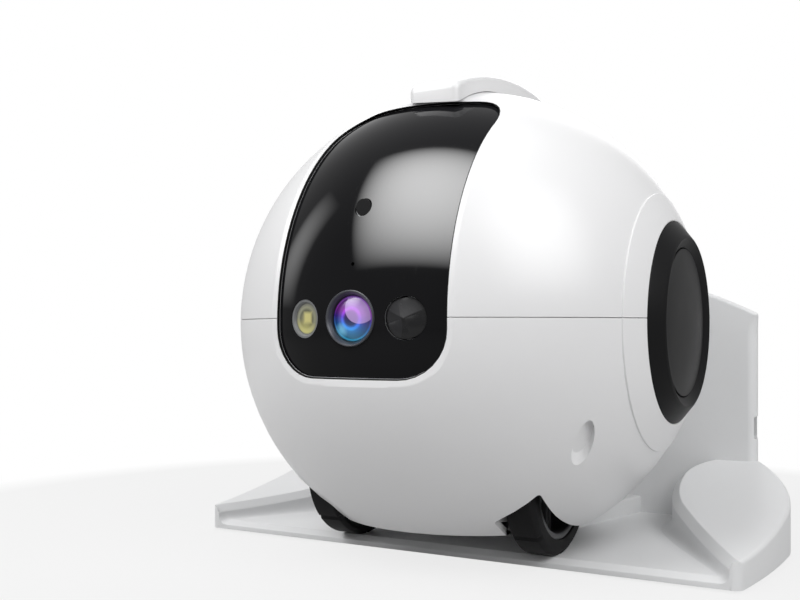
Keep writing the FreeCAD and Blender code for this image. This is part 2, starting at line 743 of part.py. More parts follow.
def visor():
    """The glossy front panel with a hole for each instrument."""
    skin = hollow_ball("visor_skin", "ball_radius", "ball_radius - visor_wall")
    panel = shared("visor_panel", skin, visor_prism("visor_edge", "0"))
    holes = [
        eye_rod("camera_window", "bezel_radius + running_gap", "0", FAR, "0"),
        eye_rod("lamp_hole", "lamp_radius + running_gap", "0", FAR, "-eye_turn"),
        eye_rod("dome_hole", "dome_radius + running_gap", "0", FAR, "eye_turn"),
        rod("pointer_hole", "y", "pointer_radius + fit_gap", ("0", MINUS_FAR, "pointer_level"), FAR),
        rod("sound_hole", "y", "mic_hole_radius", ("0", MINUS_FAR, "mic_level"), FAR),
    ]
    piece("visor", minus("visor", panel, *holes))


def visor_seal():
    """The black seal between visor and shells."""
    skin = hollow_ball("seal_skin", "ball_radius - seal_depth", INSIDE)
    ring = shared("seal_ring", skin, visor_prism("seal_outside", "seal_width"))
    piece("visor_seal", minus("visor_seal", ring, visor_prism("seal_inside", "0", "visor_reach - 1")))


def visor_carrier():
    """The frame behind the visor, with sockets for the instruments and posts for the camera board."""
    outside = "ball_radius - visor_wall - 2 * running_gap"
    inside = outside + " - carrier_wall"
    skin = hollow_ball("carrier_skin", outside, inside)
    frame = shared("carrier_frame", skin, visor_prism("carrier_edge", "carrier_margin", "carrier_reach"))
    socket = "dome_radius + boss_wall"
    back = inside + " - socket_depth"
    depth = "socket_depth + carrier_wall / 2"

    def post(name, across, up):
        x, z = "%d * (board_side / 2 - boss_wall)" % across, "eye_level + %d * (board_side / 2 - boss_wall)" % up
        start = "-(%s) + carrier_wall / 2" % inside
        return rod(name, "y", "screw_radius", (x, start, z), "%s - (%s)" % (CAMERA_BACK, start))

    solids = [
        frame,
        eye_rod("lamp_socket", "lamp_radius + boss_wall", back, depth, "-eye_turn"),
        eye_rod("dome_socket", socket, back, depth, "eye_turn"),
        rod("pointer_collar", "y", "pointer_radius + boss_wall", ("0", "-86.8", "pointer_level"), "7"),
        rod("mic_collar", "y", "mic_radius + boss_wall", ("0", "-94", "mic_level"), "3.5"),
        cornered("camera_posts", post),
    ]
    bores = [
        eye_rod("barrel_room", "bezel_radius + running_gap", "ball_radius / 2", FAR, "0"),
        eye_rod("lamp_bore", "lamp_radius + running_gap", "0", FAR, "-eye_turn"),
        eye_rod("dome_bore", "dome_radius + running_gap", "0", FAR, "eye_turn"),
        rod("pointer_bore", "y", "pointer_radius + running_gap", ("0", MINUS_FAR, "pointer_level"), FAR),
        rod("mic_bore", "y", "mic_radius + running_gap", ("0", MINUS_FAR, "mic_level"), FAR),
    ]
    whole = shared("carrier_trimmed", joined("carrier_whole", *solids), ball("carrier_limit", outside))
    piece("visor_carrier", minus("visor_carrier", whole, *bores))


def camera():
    """Bezel, lens, barrel and board on the ball's front axis."""
    bezel = turned(
        "lens_bezel",
        "xy",
        [
            ("lens_radius + running_gap", "-ball_radius + 1.6"),
            ("lens_radius + 0.9", "-ball_radius + bezel_depth + 0.2"),
            ("bezel_radius - 0.3", "-ball_radius + bezel_depth"),
            ("bezel_radius", "-ball_radius + bezel_depth + 0.25"),
            ("bezel_radius", "-ball_radius + 6"),
            ("lens_radius + running_gap", "-ball_radius + 6"),
        ],
        "V_Axis",
    )
    piece("lens_bezel", bezel, at=("0", "0", "eye_level"))
    lens = turned(
        "camera_lens",
        "xy",
        [
            ("0", "-ball_radius + lens_set", crown("lens_radius", "lens_dome")),
            ("lens_radius", "-ball_radius + lens_set + lens_dome"),
            ("lens_radius", "-ball_radius + lens_depth"),
            ("0", "-ball_radius + lens_depth"),
        ],
        "V_Axis",
    )
    piece("camera_lens", lens, at=("0", "0", "eye_level"))
    start = "-ball_radius + lens_depth"
    barrel = rod("barrel_tube", "y", "barrel_radius", ("0", start, "0"), "barrel_length")
    low = ("-board_side / 3", start + " + barrel_length", "-board_side / 3")
    block = box("image_sensor", low, ("board_side / 3", CAMERA_BACK, "board_side / 3"))
    piece("camera_barrel", joined("camera_barrel", barrel, block), at=("0", "0", "eye_level"))
    low = ("-board_side / 2", CAMERA_BACK, "-board_side / 2")
    board = box("camera_board", low, ("board_side / 2", CAMERA_BACK + " + board_thick", "board_side / 2"))
    piece("camera_board", board, at=("0", "0", "eye_level"))


def instruments():
    """Lamp, motion sensor, aiming pointer and microphone."""
    skin = "ball_radius - visor_wall"
    window = turned(
        "lamp_window",
        "xy",
        [
            ("0", "-ball_radius + lamp_edge - lamp_crown", crown("lamp_radius", "lamp_crown")),
            ("lamp_radius", "-ball_radius + lamp_edge"),
            ("lamp_radius", "-(%s)" % skin),
            ("0", "-(%s)" % skin),
        ],
        "V_Axis",
    )
    piece("lamp_window", window, turn="-eye_turn", at=("0", "0", "eye_level"))
    lamp = turned(
        "lamp_module",
        "xy",
        [
            ("0", "-(%s) + 7" % skin),
            ("lamp_radius / 3", "-(%s) + 7" % skin),
            ("lamp_radius - 0.7", "-(%s)" % skin),
            ("lamp_radius", "-(%s)" % skin),
            ("lamp_radius", "-(%s) + 10" % skin),
            ("0", "-(%s) + 10" % skin),
        ],
        "V_Axis",
    )
    piece("lamp_module", lamp, turn="-eye_turn", at=("0", "0", "eye_level"))
    dome = turned(
        "sensor_dome",
        "xy",
        [
            ("0", "-ball_radius + dome_edge - dome_rise", crown("dome_radius", "dome_rise")),
            ("dome_radius", "-ball_radius + dome_edge"),
            ("dome_radius", "-(%s)" % skin),
            ("dome_radius - dome_wall", "-(%s)" % skin),
            (
                "dome_radius - dome_wall",
                "-ball_radius + dome_edge",
                "-" + crown("dome_radius - dome_wall", "dome_rise - dome_wall"),
            ),
            ("0", "-ball_radius + dome_edge - dome_rise + dome_wall"),
        ],
        "V_Axis",
    )
    piece("sensor_dome", dome, turn="eye_turn", at=("0", "0", "eye_level"))
    can = turned(
        "motion_sensor",
        "xy",
        [
            ("0", "-(%s) + 2" % skin),
            ("4.6", "-(%s) + 2" % skin),
            ("4.6", "-(%s) + 7" % skin),
            ("dome_radius", "-(%s) + 7" % skin),
            ("dome_radius", "-(%s) + 10" % skin),
            ("0", "-(%s) + 10" % skin),
        ],
        "V_Axis",
    )
    piece("motion_sensor", can, turn="eye_turn", at=("0", "0", "eye_level"))
    pointer = rod("pointer_tube", "y", "pointer_radius", ("0", "-88.5", "pointer_level"), "pointer_length")
    piece("pointer_module", pointer)
    piece("microphone", rod("microphone_can", "y", "mic_radius", ("0", "-94.4", "mic_level"), "3.4"))


# ---------------------------------------------------------------------------------------------------------------
# Wheels and castor


def wheels():
    """Tyre, rim, axle and gear motor for each side; those on -X are the same turned half round."""
    at = ("0", "wheel_y", "wheel_z")
    outer = "tyre_inner + tyre_width"
    for label, turn in (("left", "0"), ("right", "180")):
        tyre = turned(
            "tyre_" + label,
            "xy",
            [
                ("tyre_inner", "rim_radius"),
                ("tyre_inner", "wheel_radius - tyre_shoulder"),
                ("tyre_inner + tyre_shoulder", "wheel_radius"),
                (outer + " - tyre_shoulder", "wheel_radius"),
                (outer, "wheel_radius - 1.5 * tyre_shoulder"),
                (outer, "rim_radius"),
            ],
            "H_Axis",
        )
        groove = body_sketch(tyre, "tread_" + label, "yz", "tyre_inner")
        outline(
            groove,
            [
                ("-tread_groove / 2", "wheel_radius - tread_depth"),
                ("tread_groove / 2", "wheel_radius - tread_depth"),
                ("tread_groove / 2", "wheel_radius + tread_depth"),
                ("-tread_groove / 2", "wheel_radius + tread_depth"),
            ],
        )
        around_x(tyre, pocket(tyre, groove, "tyre_width"), "tread_count")
        piece("tyre_" + label, tyre, turn=turn, at=at)
        inner, rim_out = "tyre_inner + 0.4", outer + " - 0.6"
        band, web = "rim_radius - rim_band", "tyre_inner + tyre_width / 3"
        rim = turned(
            "rim_" + label,
            "xy",
            [
                (inner, "axle_radius"),
                (outer + " - 3", "axle_radius"),
                (outer + " - 3", "hub_radius"),
                (web + " + 2.5", "hub_radius"),
                (web + " + 2.5", band),
                (rim_out, band),
                (rim_out, "rim_radius"),
                (inner, "rim_radius"),
                (inner, band),
                (web, band),
                (web, "hub_radius"),
                (inner, "hub_radius"),
            ],
            "H_Axis",
        )
        window = body_sketch(rim, "spoke_window_" + label, "yz", inner)
        near, far = "hub_radius + 1.5", "%s - 1.5" % band
        outline(
            window,
            [
                ("-0.25 * (%s)" % near, near),
                ("0.25 * (%s)" % near, near),
                ("0.38 * (%s)" % far, "0.9 * (%s)" % far, "%s" % far),
                ("-0.38 * (%s)" % far, "0.9 * (%s)" % far),
            ],
        )
        around_x(rim, pocket(rim, window, "tyre_width"), "spoke_count")
        piece("rim_" + label, rim, turn=turn, at=at)
        wall = WELL_INNER + " - well_wall"
        shaft = new_body("axle_" + label)
        end = circle(body_sketch(shaft, "axle_end_" + label, "yz", wall + " - 5"), "0", "0", "axle_radius")
        pad(shaft, end, "%s - 2 - (%s) + 5" % (outer, wall))
        piece("axle_" + label, shaft, turn=turn, at=at)
        low = (wall + " - gearbox_length", "-gearbox_width / 2", "-gearbox_height / 2")
        gearbox = box("gearbox_" + label, low, (wall, "gearbox_width / 2", "gearbox_height / 2"))
        start = wall + " - gearbox_length - motor_length"
        can = rod("motor_can_" + label, "x", "gearbox_height / 2", (start, "0", "0"), "motor_length")
        bore = rod("gearbox_bore_" + label, "x", "axle_radius + running_gap", (wall + " - 6", "0", "0"), "7")
        motor = minus("gear_motor_" + label, joined("motor_whole_" + label, gearbox, can), bore)
        piece("gear_motor_" + label, motor, turn=turn, at=at)


def castor():
    """The small swivelling wheel under the robot's rear."""
    top = "-cup_top - fit_gap"
    plate = "cup_radius - 2"
    disc = rod("fork_disc", "z", plate, ("0", "0", top + " - fork_wall"), "fork_wall")
    stem = rod("fork_stem", "z", "stem_radius", ("0", "0", top), "stem_length")

    def cheek(name, side):
        across = ("castor_width / 2 + fit_gap", "castor_width / 2 + fit_gap + fork_wall")
        if side < 0:
            across = ("-(%s)" % across[1], "-(%s)" % across[0])
        low = (across[0], "castor_trail - 3 * fork_wall", CASTOR_Z + " - fork_wall")
        return box(name, low, (across[1], "castor_trail + fork_wall", top + " - 1"))

    whole = joined("fork_whole", disc, stem, mirrored("cheek", cheek))
    half = "(castor_width / 2 + fit_gap + fork_wall)"
    bore = rod("fork_bore", "x", "castor_pin", ("-" + half, "castor_trail", CASTOR_Z), "2 * " + half)
    at = ("0", "castor_y", "0")
    piece("castor_fork", minus("castor_fork", whole, bore), at=at)
    pin = rod("castor_axle_rod", "x", "castor_pin", ("-" + half, "castor_trail", CASTOR_Z), "2 * " + half)
    piece("castor_axle", pin, at=at)
    start = ("-castor_width / 2", "castor_trail", CASTOR_Z)
    disc = rod("castor_disc", "x", "castor_radius", start, "castor_width")
    hole = rod("castor_hole", "x", "castor_pin + running_gap", start, "castor_width")
    piece("castor_wheel", minus("castor_wheel", disc, hole), at=at)


# ---------------------------------------------------------------------------------------------------------------
# Inside the robot


def chassis():
    """Round plate on top of the wheel wells, with posts for the main board."""
    plate = rod("chassis_plate", "z", "chassis_radius", ("0", "0", CHASSIS_Z), "chassis_thick")

    def post(name, across, along):
        y = "(board_front + board_back) / 2 + %d * ((board_back - board_front) / 2 - 5)" % along
        start = ("%d * (board_half_width - 6)" % across, y, CHASSIS_Z)
        return rod(name, "z", "3", start, "chassis_thick + standoff")

    piece("chassis", joined("chassis", plate, cornered("board_post", post)))


def main_board():
    """The main circuit board with its larger components."""
    low = ("-board_half_width", "board_front", BOARD_Z)
    sheet_ = box("board_sheet", low, ("board_half_width", "board_back", BOARD_Z + " + board_thick"))
    top = BOARD_Z + " + board_thick"

    def chip(name, x, y, side, rise):
        return box(name, (x, y, top), ("%s + %s" % (x, side), "%s + %s" % (y, side), "%s + %s" % (top, rise)))

    parts = [
        sheet_,
        chip("processor", "-6", "board_front + 9", "13", "1.6"),
        chip("memory", "-26", "board_front + 10", "10", "1.2"),
        chip("radio", "18", "board_front + 8", "15", "2.2"),
        chip("connector_a", "-40", "board_back - 12", "7", "5"),
        chip("connector_b", "30", "board_back - 12", "7", "5"),
    ]
    piece("main_board", joined("main_board", *parts))


def battery():
    """Two cells in a tray that hangs under the chassis between the wheel wells."""
    middle = "wheel_y + gearbox_width"
    height = CHASSIS_Z + " - cell_radius"

    def cell(name, side):
        start = ("-cell_length / 2", "%s + %d * (cell_radius + fit_gap / 2)" % (middle, side), height)
        return rod(name, "x", "cell_radius", start, "cell_length")

    rise = "cell_radius * 0.8"
    low = ("-cell_length / 2 + 1", middle + " - cell_radius", height + " - " + rise)
    wrap = box("cell_wrap", low, ("cell_length / 2 - 1", middle + " + cell_radius", height + " + " + rise))
    piece("battery_pack", joined("battery_pack", mirrored("cells", cell), wrap))
    half = "(2 * cell_radius + 1.5 * fit_gap)"
    floor = height + " - cell_radius - fit_gap - 1.6"
    low = ("-cell_length / 2 + 6", "%s - %s - 1.6" % (middle, half), floor)
    block = box("tray_block", low, ("cell_length / 2 - 6", "%s + %s + 1.6" % (middle, half), CHASSIS_Z))
    low = (MINUS_FAR, "%s - %s" % (middle, half), floor + " + 1.6")
    room = box("tray_room", low, (FAR, "%s + %s" % (middle, half), FAR))
    piece("battery_tray", minus("battery_tray", block, room))


def speaker():
    """The loudspeaker behind the right-hand side cap."""
    magnet = rod("speaker_magnet", "x", "speaker_radius * 0.6", ("-ring_seat + shell_wall", "0", "0"), "speaker_depth")
    frame = rod("speaker_frame", "x", "speaker_radius", ("-ring_seat + shell_wall", "0", "0"), "speaker_depth / 3")
    piece("speaker", joined("speaker", magnet, frame))


def charge_plates():
    def plate(name, side):
        return rod(name, "z", "plate_radius", ("%d * plate_x" % side, "plate_y", "-ball_bottom"), "plate_thick")

    piece("charge_plates", mirrored("charge_plates", plate))


def power_button():
    """The button in the robot's underside, and the switch on a small bridge over it."""
    out = "-ball_bottom - button_proud"
    lip = FLOOR_INSIDE + " + running_gap"
    face = rod("button_face", "z", "button_radius", ("0", "0", out), "%s - (%s)" % (lip, out))
    flange = rod("button_lip_disc", "z", "button_radius + button_flange", ("0", "0", lip), "button_lip")
    at = ("0", "button_y", "0")
    piece("power_button", joined("power_button", face, flange), at=at)
    top = "(%s + button_lip + button_travel + fit_gap)" % lip
    deep, half, leg = "button_radius", "switch_half", "boss_wall"
    under = top + " + switch_height"
    bridge = box("switch_bridge", ("-" + half, "-" + deep, FLOOR_INSIDE), (half, deep, under + " + " + leg))
    room = ("-%s + %s" % (half, leg), MINUS_FAR, MINUS_FAR)
    bridge = minus("bridge", bridge, box("bridge_room", room, ("%s - %s" % (half, leg), FAR, under)))
    low = ("-switch_height", "-switch_height", top)
    switch = box("switch_can", low, ("switch_height", "switch_height", under))
    piece("button_switch", joined("button_switch", bridge, switch), at=at)


# ---------------------------------------------------------------------------------------------------------------
# Treat lid, hopper, rotor and launcher


def treat_lid():
    """The raised lid: an arched cap over hopper and chute that hinges at its tail and follows the ball's roundness."""
    arch = "lid_arch_z + sqrt(lid_arch_radius^2 - (%s - lid_arch_y)^2)"
    clear = "ball_radius + fit_gap"
    nose = "lid_front + lid_nose"
    foot = "(%s) / (%s)" % (clear, HINGE_R)
    skirt = "(sqrt((%s)^2 - (lid_side + lid_width)^2) - fit_gap)" % clear
    root = "%s / (%s)" % (skirt, HINGE_R)
    body = new_body("lid_cap")
    side = outline(
        body_sketch(body, "lid_side_view", "yz", "lid_side"),
        [
            ("lid_front", "sqrt(%s^2 - lid_front^2)" % skirt, "-" + skirt),
            ("hinge_y * " + root, "(%s) * %s" % (HINGE_Z, root)),
            ("hinge_y * " + foot, "(%s) * %s" % (HINGE_Z, foot), "knuckle_radius"),
            ("hinge_y + knuckle_radius", HINGE_Z, "tail_radius"),
            ("lid_rear", arch % "lid_rear", "lid_arch_radius"),
            (nose, arch % nose, "lid_nose"),
            ("lid_front", "(%s) - lid_nose" % (arch % nose)),
        ],
    )
    block = pad(body, side, "lid_width")
    doc.recompute()
    top = value(arch % "lid_rear") - 0.5
    front = value("lid_front") + 0.01

    def rounded(edge):
        around = edge.BoundBox
        return around.XLength < 0.01 and (around.ZMax > top or around.YMax < front)

    rounding = body.newObject("PartDesign::Fillet", "lid_rounding")
    rounding.Base = (block, edges(block.Shape, rounded))
    rounding.UseAllEdges = False
    bind(rounding, Radius="lid_edge")
    inner = "lid_arch_z + sqrt((lid_arch_radius - lid_wall)^2 - (%s - lid_arch_y)^2)"
    front = "(lid_front + lid_wall)"
    room = outline(
        body_sketch(body, "lid_room", "yz", "lid_side + lid_wall"),
        [
            (front, "ball_radius / 2"),
            ("hinge_y - 3 * knuckle_radius", "ball_radius / 2"),
            ("hinge_y - 2 * knuckle_radius", HINGE_Z + " + knuckle_radius - fit_gap"),
            ("lid_rear", inner % "lid_rear", "lid_arch_radius - lid_wall"),
            (front, inner % front),
        ],
    )
    pocket(body, room, "lid_width - 2 * lid_wall")
    bore = body_sketch(body, "lid_bore", "yz", "lid_side")
    circle(bore, "hinge_y", HINGE_Z, "hinge_pin_radius + running_gap")
    pocket(body, bore, "lid_width")
    piece("treat_lid", minus("treat_lid", body, ball("lid_seat", clear)))
    start = ("lid_side - fit_gap - ear_width", "hinge_y", HINGE_Z)
    length = "lid_width + 2 * (fit_gap + ear_width)"
    piece("lid_hinge_pin", rod("lid_pin_rod", "x", "hinge_pin_radius", start, length))


def launch_chute():
    """The upright duct that treats are thrown up through, standing on the chassis."""
    floor = CHASSIS_Z + " + chassis_thick"
    tower = box("chute_tower", (DUCT_LOW, "chute_front", floor), (DUCT_HIGH, "chute_back", "chute_top"))
    low = (DUCT_LOW + " + duct_wall", "chute_front + duct_wall", "paddle_z - 3")
    room = box("chute_room", low, (DUCT_HIGH + " - duct_wall", "chute_back - duct_wall", FAR))
    low = (ROTOR_MID + " - 6", "chute_back - 2 * duct_wall", "paddle_z + 4")
    door = box("chute_door", low, (ROTOR_MID + " + 6", "chute_back + 1", "rotor_z - 3"))
    start = (DUCT_LOW + " - 1", "chute_back - 4", "paddle_z")
    bore = rod("paddle_bore", "x", "paddle_shaft + running_gap", start, "lid_width")
    piece("launch_chute", minus("launch_chute", tower, room, door, bore))


def launch_paddle():
    """The paddle at the foot of the chute, on its shaft, and the servo that flips it."""
    low = (DUCT_LOW + " + duct_wall + 2 * fit_gap", "chute_front + duct_wall + 2 * fit_gap", "paddle_z - paddle_thick / 2")
    high = (DUCT_HIGH + " - duct_wall - 2 * fit_gap", "chute_back - 4", "paddle_z + paddle_thick / 2")
    blade = box("paddle_blade", low, high)
    start = (DUCT_LOW + " - 2", "chute_back - 4", "paddle_z")
    shaft = rod("paddle_rod", "x", "paddle_shaft", start, DUCT_HIGH + " - (" + DUCT_LOW + ") + 6")
    piece("launch_paddle", joined("launch_paddle", blade, shaft))
    floor = CHASSIS_Z + " + chassis_thick"
    low = (DUCT_HIGH + " + 0.5", "chute_back - 16", floor)
    case = box("servo_case", low, (DUCT_HIGH + " + 12.5", "chute_back + 0.4", "paddle_z + 7"))
    start = (DUCT_HIGH, "chute_back - 4", "paddle_z")
    bore = rod("servo_bore", "x", "paddle_shaft + running_gap", start, "5")
    piece("launch_servo", minus("launch_servo", case, bore))


def funnel(name, inset):
    """A tapered block from the hopper's floor down to the rotor housing, each side taken in by an inset."""
    solid = doc.addObject("Part::Wedge", name)
    solid.Placement = Placement(Vector(), Rotation(Vector(1, 0, 0), 90))
    wide, narrow = "hopper_half_width - " + inset, "rotor_width / 2 + fit_gap + duct_wall - " + inset
    front, back = "chute_back + 0.6 + " + inset, "hopper_back - " + inset
    bind(
        solid,
        Ymin="rotor_z + rotor_motor_radius + 0.5",
        Ymax="hopper_floor",
        Xmin="%s - (%s)" % (ROTOR_MID, narrow),
        Xmax="%s + %s" % (ROTOR_MID, narrow),
        X2min="%s - (%s)" % (ROTOR_MID, wide),
        X2max="%s + %s" % (ROTOR_MID, wide),
        Zmin="-(rotor_y + rotor_radius - 2 - %s)" % inset,
        Zmax="-(rotor_y - rotor_radius + 2 + %s)" % inset,
        Z2min="-(%s)" % back,
        Z2max="-(%s)" % front,
    )
    return solid


def hopper():
    """The treat hopper: filling neck, bin, funnel and rotor housing, with a spout into the chute."""
    back, front = "hopper_back", "chute_back + 0.6"
    wall = "duct_wall"

    def bin_box(name, inset, rise):
        low = ("%s - hopper_half_width + %s" % (ROTOR_MID, inset), "%s + %s" % (front, inset), "hopper_floor")
        high = ("%s + hopper_half_width - %s" % (ROTOR_MID, inset), "%s - %s" % (back, inset), rise)
        return box(name, low, high)

    def neck_box(name, inset, low, high):
        across = (DUCT_LOW + " + " + inset, DUCT_HIGH + " - " + inset)
        return box(name, (across[0], front + " + " + inset, low), (across[1], "neck_back - " + inset, high))

    def drum(name, radius, half):
        start = ("%s - (%s)" % (ROTOR_MID, half), "rotor_y", "rotor_z")
        return rod(name, "x", radius, start, "2 * (%s)" % half)

    half = "rotor_width / 2 + fit_gap"
    floor = CHASSIS_Z + " + chassis_thick"
    low = (ROTOR_MID + " - 8", "rotor_y - 6", floor)
    foot = box("hopper_foot", low, (ROTOR_MID + " + 8", "rotor_y + 6", "rotor_z - rotor_radius"))
    spout_low, spout_high = "paddle_z + 4", "rotor_z - 3"
    low = (ROTOR_MID + " - 6 - duct_wall", "chute_back", spout_low + " - duct_wall")
    spout = box("spout", low, (ROTOR_MID + " + 6 + duct_wall", "rotor_y", spout_high + " + duct_wall"))
    outside = joined(
        "hopper_outside",
        bin_box("bin_outside", "0", "hopper_top"),
        neck_box("neck_outside", "0", "hopper_top - 1", "chute_top"),
        funnel("funnel_outside", "0"),
        drum("drum_outside", "rotor_radius + fit_gap + duct_wall", half + " + duct_wall"),
        foot,
        spout,
    )
    spout_room = box("spout_room", (ROTOR_MID + " - 6", "chute_back - 1", spout_low), (ROTOR_MID + " + 6", "rotor_y", spout_high))
    inside = [
        bin_box("bin_inside", wall, "hopper_top - duct_wall"),
        neck_box("neck_inside", wall, "hopper_top - 3", "chute_top + 1"),
        funnel("funnel_inside", wall),
        drum("drum_inside", "rotor_radius + fit_gap", half),
        spout_room,
        drum("drum_bore", "rotor_shaft + running_gap", "rotor_width"),
    ]
    piece("treat_hopper", minus("treat_hopper", outside, *inside))


def treat_rotor():
    """The pocketed rotor that meters treats, with the motor that turns it."""
    body = new_body("treat_rotor")
    face = circle(body_sketch(body, "rotor_face", "yz", ROTOR_MID + " - rotor_width / 2"), "0", "0", "rotor_radius")
    pad(body, face, "rotor_width")
    start = ROTOR_MID + " - rotor_width / 2 - fit_gap - duct_wall"
    shaft = circle(body_sketch(body, "rotor_shaft_end", "yz", start), "0", "0", "rotor_shaft")
    pad(body, shaft, "rotor_width + 2 * (fit_gap + duct_wall) + 5")
    cup = body_sketch(body, "treat_pocket", "yz", ROTOR_MID + " - rotor_width / 2")
    circle(cup, "0", "rotor_radius", "pocket_radius")
    around_x(body, pocket(body, cup, "rotor_width"), "pocket_count")
    at = ("0", "rotor_y", "rotor_z")
    piece("treat_rotor", body, at=at)
    edge = ROTOR_MID + " + rotor_width / 2 + fit_gap + duct_wall"
    floor = "%s + chassis_thick - rotor_z" % CHASSIS_Z
    can = rod("rotor_can", "x", "rotor_motor_radius", (edge, "0", "0"), "rotor_motor_length")
    half = "rotor_motor_radius * 2 / 3"
    stand = box("rotor_stand", (edge + " + 2", "-" + half, floor), (edge + " + rotor_motor_length - 2", half, "0"))
    bore = rod("rotor_bore", "x", "rotor_shaft + running_gap", (edge, "0", "0"), "6")
    motor = minus("rotor_motor", joined("rotor_motor_whole", can, stand), bore)
    piece("rotor_motor", motor, at=at)


# ---------------------------------------------------------------------------------------------------------------
# Charging dock


def tangent_radius(start, end):
    """Radius of the arc that leaves a point along Y and ends at another, which lies to its side."""
    across = "(%s - %s)" % (end[0], start[0])
    along = "(%s - %s)" % (end[1], start[1])
    return "(%s^2 + %s^2) / (2 * abs(%s))" % (across, along, across)


def column():
    """The dock's back: an arched column that narrows to its rear, with rounded corners and a bevelled top."""
    body = new_body("column")
    face = outline(
        body_sketch(body, "column_face", "xz", "-column_back"),
        [
            ("-column_half_width", "foot_height"),
            ("column_half_width", "foot_height"),
            ("column_half_width", "column_shoulder", "column_arch"),
            ("-column_half_width", "column_shoulder"),
        ],
    )
    pad(body, face, "column_back - column_front")
    for side, sign in (("left", ""), ("right", "-")):
        corners = [
            (sign + "column_half_width", "column_front"),
            (sign + "2 * column_half_width", "column_front"),
            (sign + "2 * column_half_width", "column_back"),
            (sign + "column_rear_width", "column_back"),
        ]
        wedge = outline(body_sketch(body, "column_taper_" + side, "xy"), corners)
        block = pocket(body, wedge, FAR)
    doc.recompute()
    upright = edges(block.Shape, lambda edge: edge.BoundBox.XLength + edge.BoundBox.YLength < 0.01)
    rounding = body.newObject("PartDesign::Fillet", "column_rounding")
    rounding.Base = (block, upright)
    bind(rounding, Radius="column_edge")
    doc.recompute()
    shoulder = value("column_shoulder") - 0.01
    top = edges(rounding.Shape, lambda edge: edge.BoundBox.ZMin > shoulder)
    bevel = body.newObject("PartDesign::Chamfer", "column_bevelling")
    bevel.Base = (rounding, top)
    bind(bevel, Size="column_bevel")
    return body


def plate_room(name, low, high):
    """The outline of the dock's bottom plate between two levels."""
    half, rear = "(column_half_width - dock_wall)", "(column_rear_width - dock_wall)"
    corners = [
        ("-" + half, "dock_front + foot_radius"),
        (half, "dock_front + foot_radius"),
        (half, "column_front"),
        (rear, "column_back - dock_wall"),
        ("-" + rear, "column_back - dock_wall"),
        ("-" + half, "column_front"),
    ]
    return prism(name, "xy", corners, low, "%s - (%s)" % (high, low))


def bay_prism(name, low):
    """The parking bay's plan: a mouth that narrows to a waist and rounds off into the column."""
    throat = ("bay_throat", "bay_throat_y")
    waist = ("bay_waist", "(column_front - bay_waist_set)")
    end = ("bay_rear", "(column_front + pad_root / 2)")
    run_in = tangent_radius(waist, throat)
    run_out = tangent_radius(waist, end)
    corners = [
        ("-bay_mouth", "dock_front - tray_bevel"),
        ("bay_mouth", "dock_front - tray_bevel"),
        ("bay_mouth", "dock_front"),
        (throat[0], throat[1], "-" + run_in),
        (waist[0], waist[1], "-" + run_out),
        end,
        ("-" + end[0], end[1], "-" + run_out),
        ("-" + waist[0], waist[1], "-" + run_in),
        ("-" + throat[0], throat[1]),
        ("-bay_mouth", "dock_front"),
    ]
    return prism(name, "xy", corners, low, FAR)


def dock_pads():
    """Tray and side pads, with a bevel along the bay and along the tray's front edge."""
    root = "column_front + pad_root"
    side = [
        ("dock_front", "foot_height"),
        (root, "foot_height"),
        (root, "pad_rear"),
        ("column_front + pad_root / 4", "pad_rear", "-pad_hollow"),
        ("dock_front", "pad_front"),
    ]
    block = prism("pad_block", "yz", side, "-2 * dock_half_width", "4 * dock_half_width")
    widest = ("dock_half_width", "dock_widest")
    front = ("dock_front_width", "dock_front")
    rear = ("(column_half_width - pad_root / 2)", "(%s)" % root)
    run_in = tangent_radius(widest, front)
    run_out = tangent_radius(widest, rear)
    plan = [
        ("-" + front[0], front[1]),
        (front[0], front[1], run_in),
        (widest[0], widest[1], run_out),
        rear,
        ("-" + rear[0], rear[1], run_out),
        ("-" + widest[0], widest[1], run_in),
    ]
    base = shared("dock_base", block, prism("dock_plan", "xy", plan, "0", FAR))
    nose = [
        ("dock_front - tray_bevel", "tray_top - tray_bevel"),
        ("dock_front", "tray_top - tray_bevel * 2 / 3"),
        ("dock_front + tray_bevel", "tray_top"),
        ("dock_front + tray_bevel", "tray_top + tray_bevel"),
        ("dock_front - tray_bevel", "tray_top + tray_bevel"),
    ]
    nose_room = prism("tray_nose", "yz", nose, "-bay_mouth", "2 * bay_mouth")
    rooms = [bay_prism("bay", "tray_top"), shared("tray_nose_room", nose_room, bay_prism("bay_deep", "0"))]
    bevelled = minus("dock_bayed", base, *rooms)
    for side, sign in (("left", 1), ("right", -1)):
        bevelled = bevelled_rim(bevelled, "bay_bevel_" + side, sign)
    return bevelled


def bevelled_rim(base, name, sign):
    """Bevels the pad's edge along one side of the bay; the bevel runs on along the whole smooth edge."""
    doc.recompute()
    low, throat = value("tray_top") + 1, value("bay_throat")
    mouth = value("bay_mouth") + 0.5

    def rim(edge):
        around = edge.BoundBox
        near, far = sorted((sign * around.XMin, sign * around.XMax))
        return throat - 0.5 < near and far < mouth and around.ZMin > low and around.YLength > 10

    bevelled = doc.addObject("Part::Chamfer", name)
    bevelled.Base = base
    reach = value("bay_bevel")
    bevelled.Edges = [(int(edge[4:]), reach, reach) for edge in edges(base.Shape, rim)]
    return bevelled


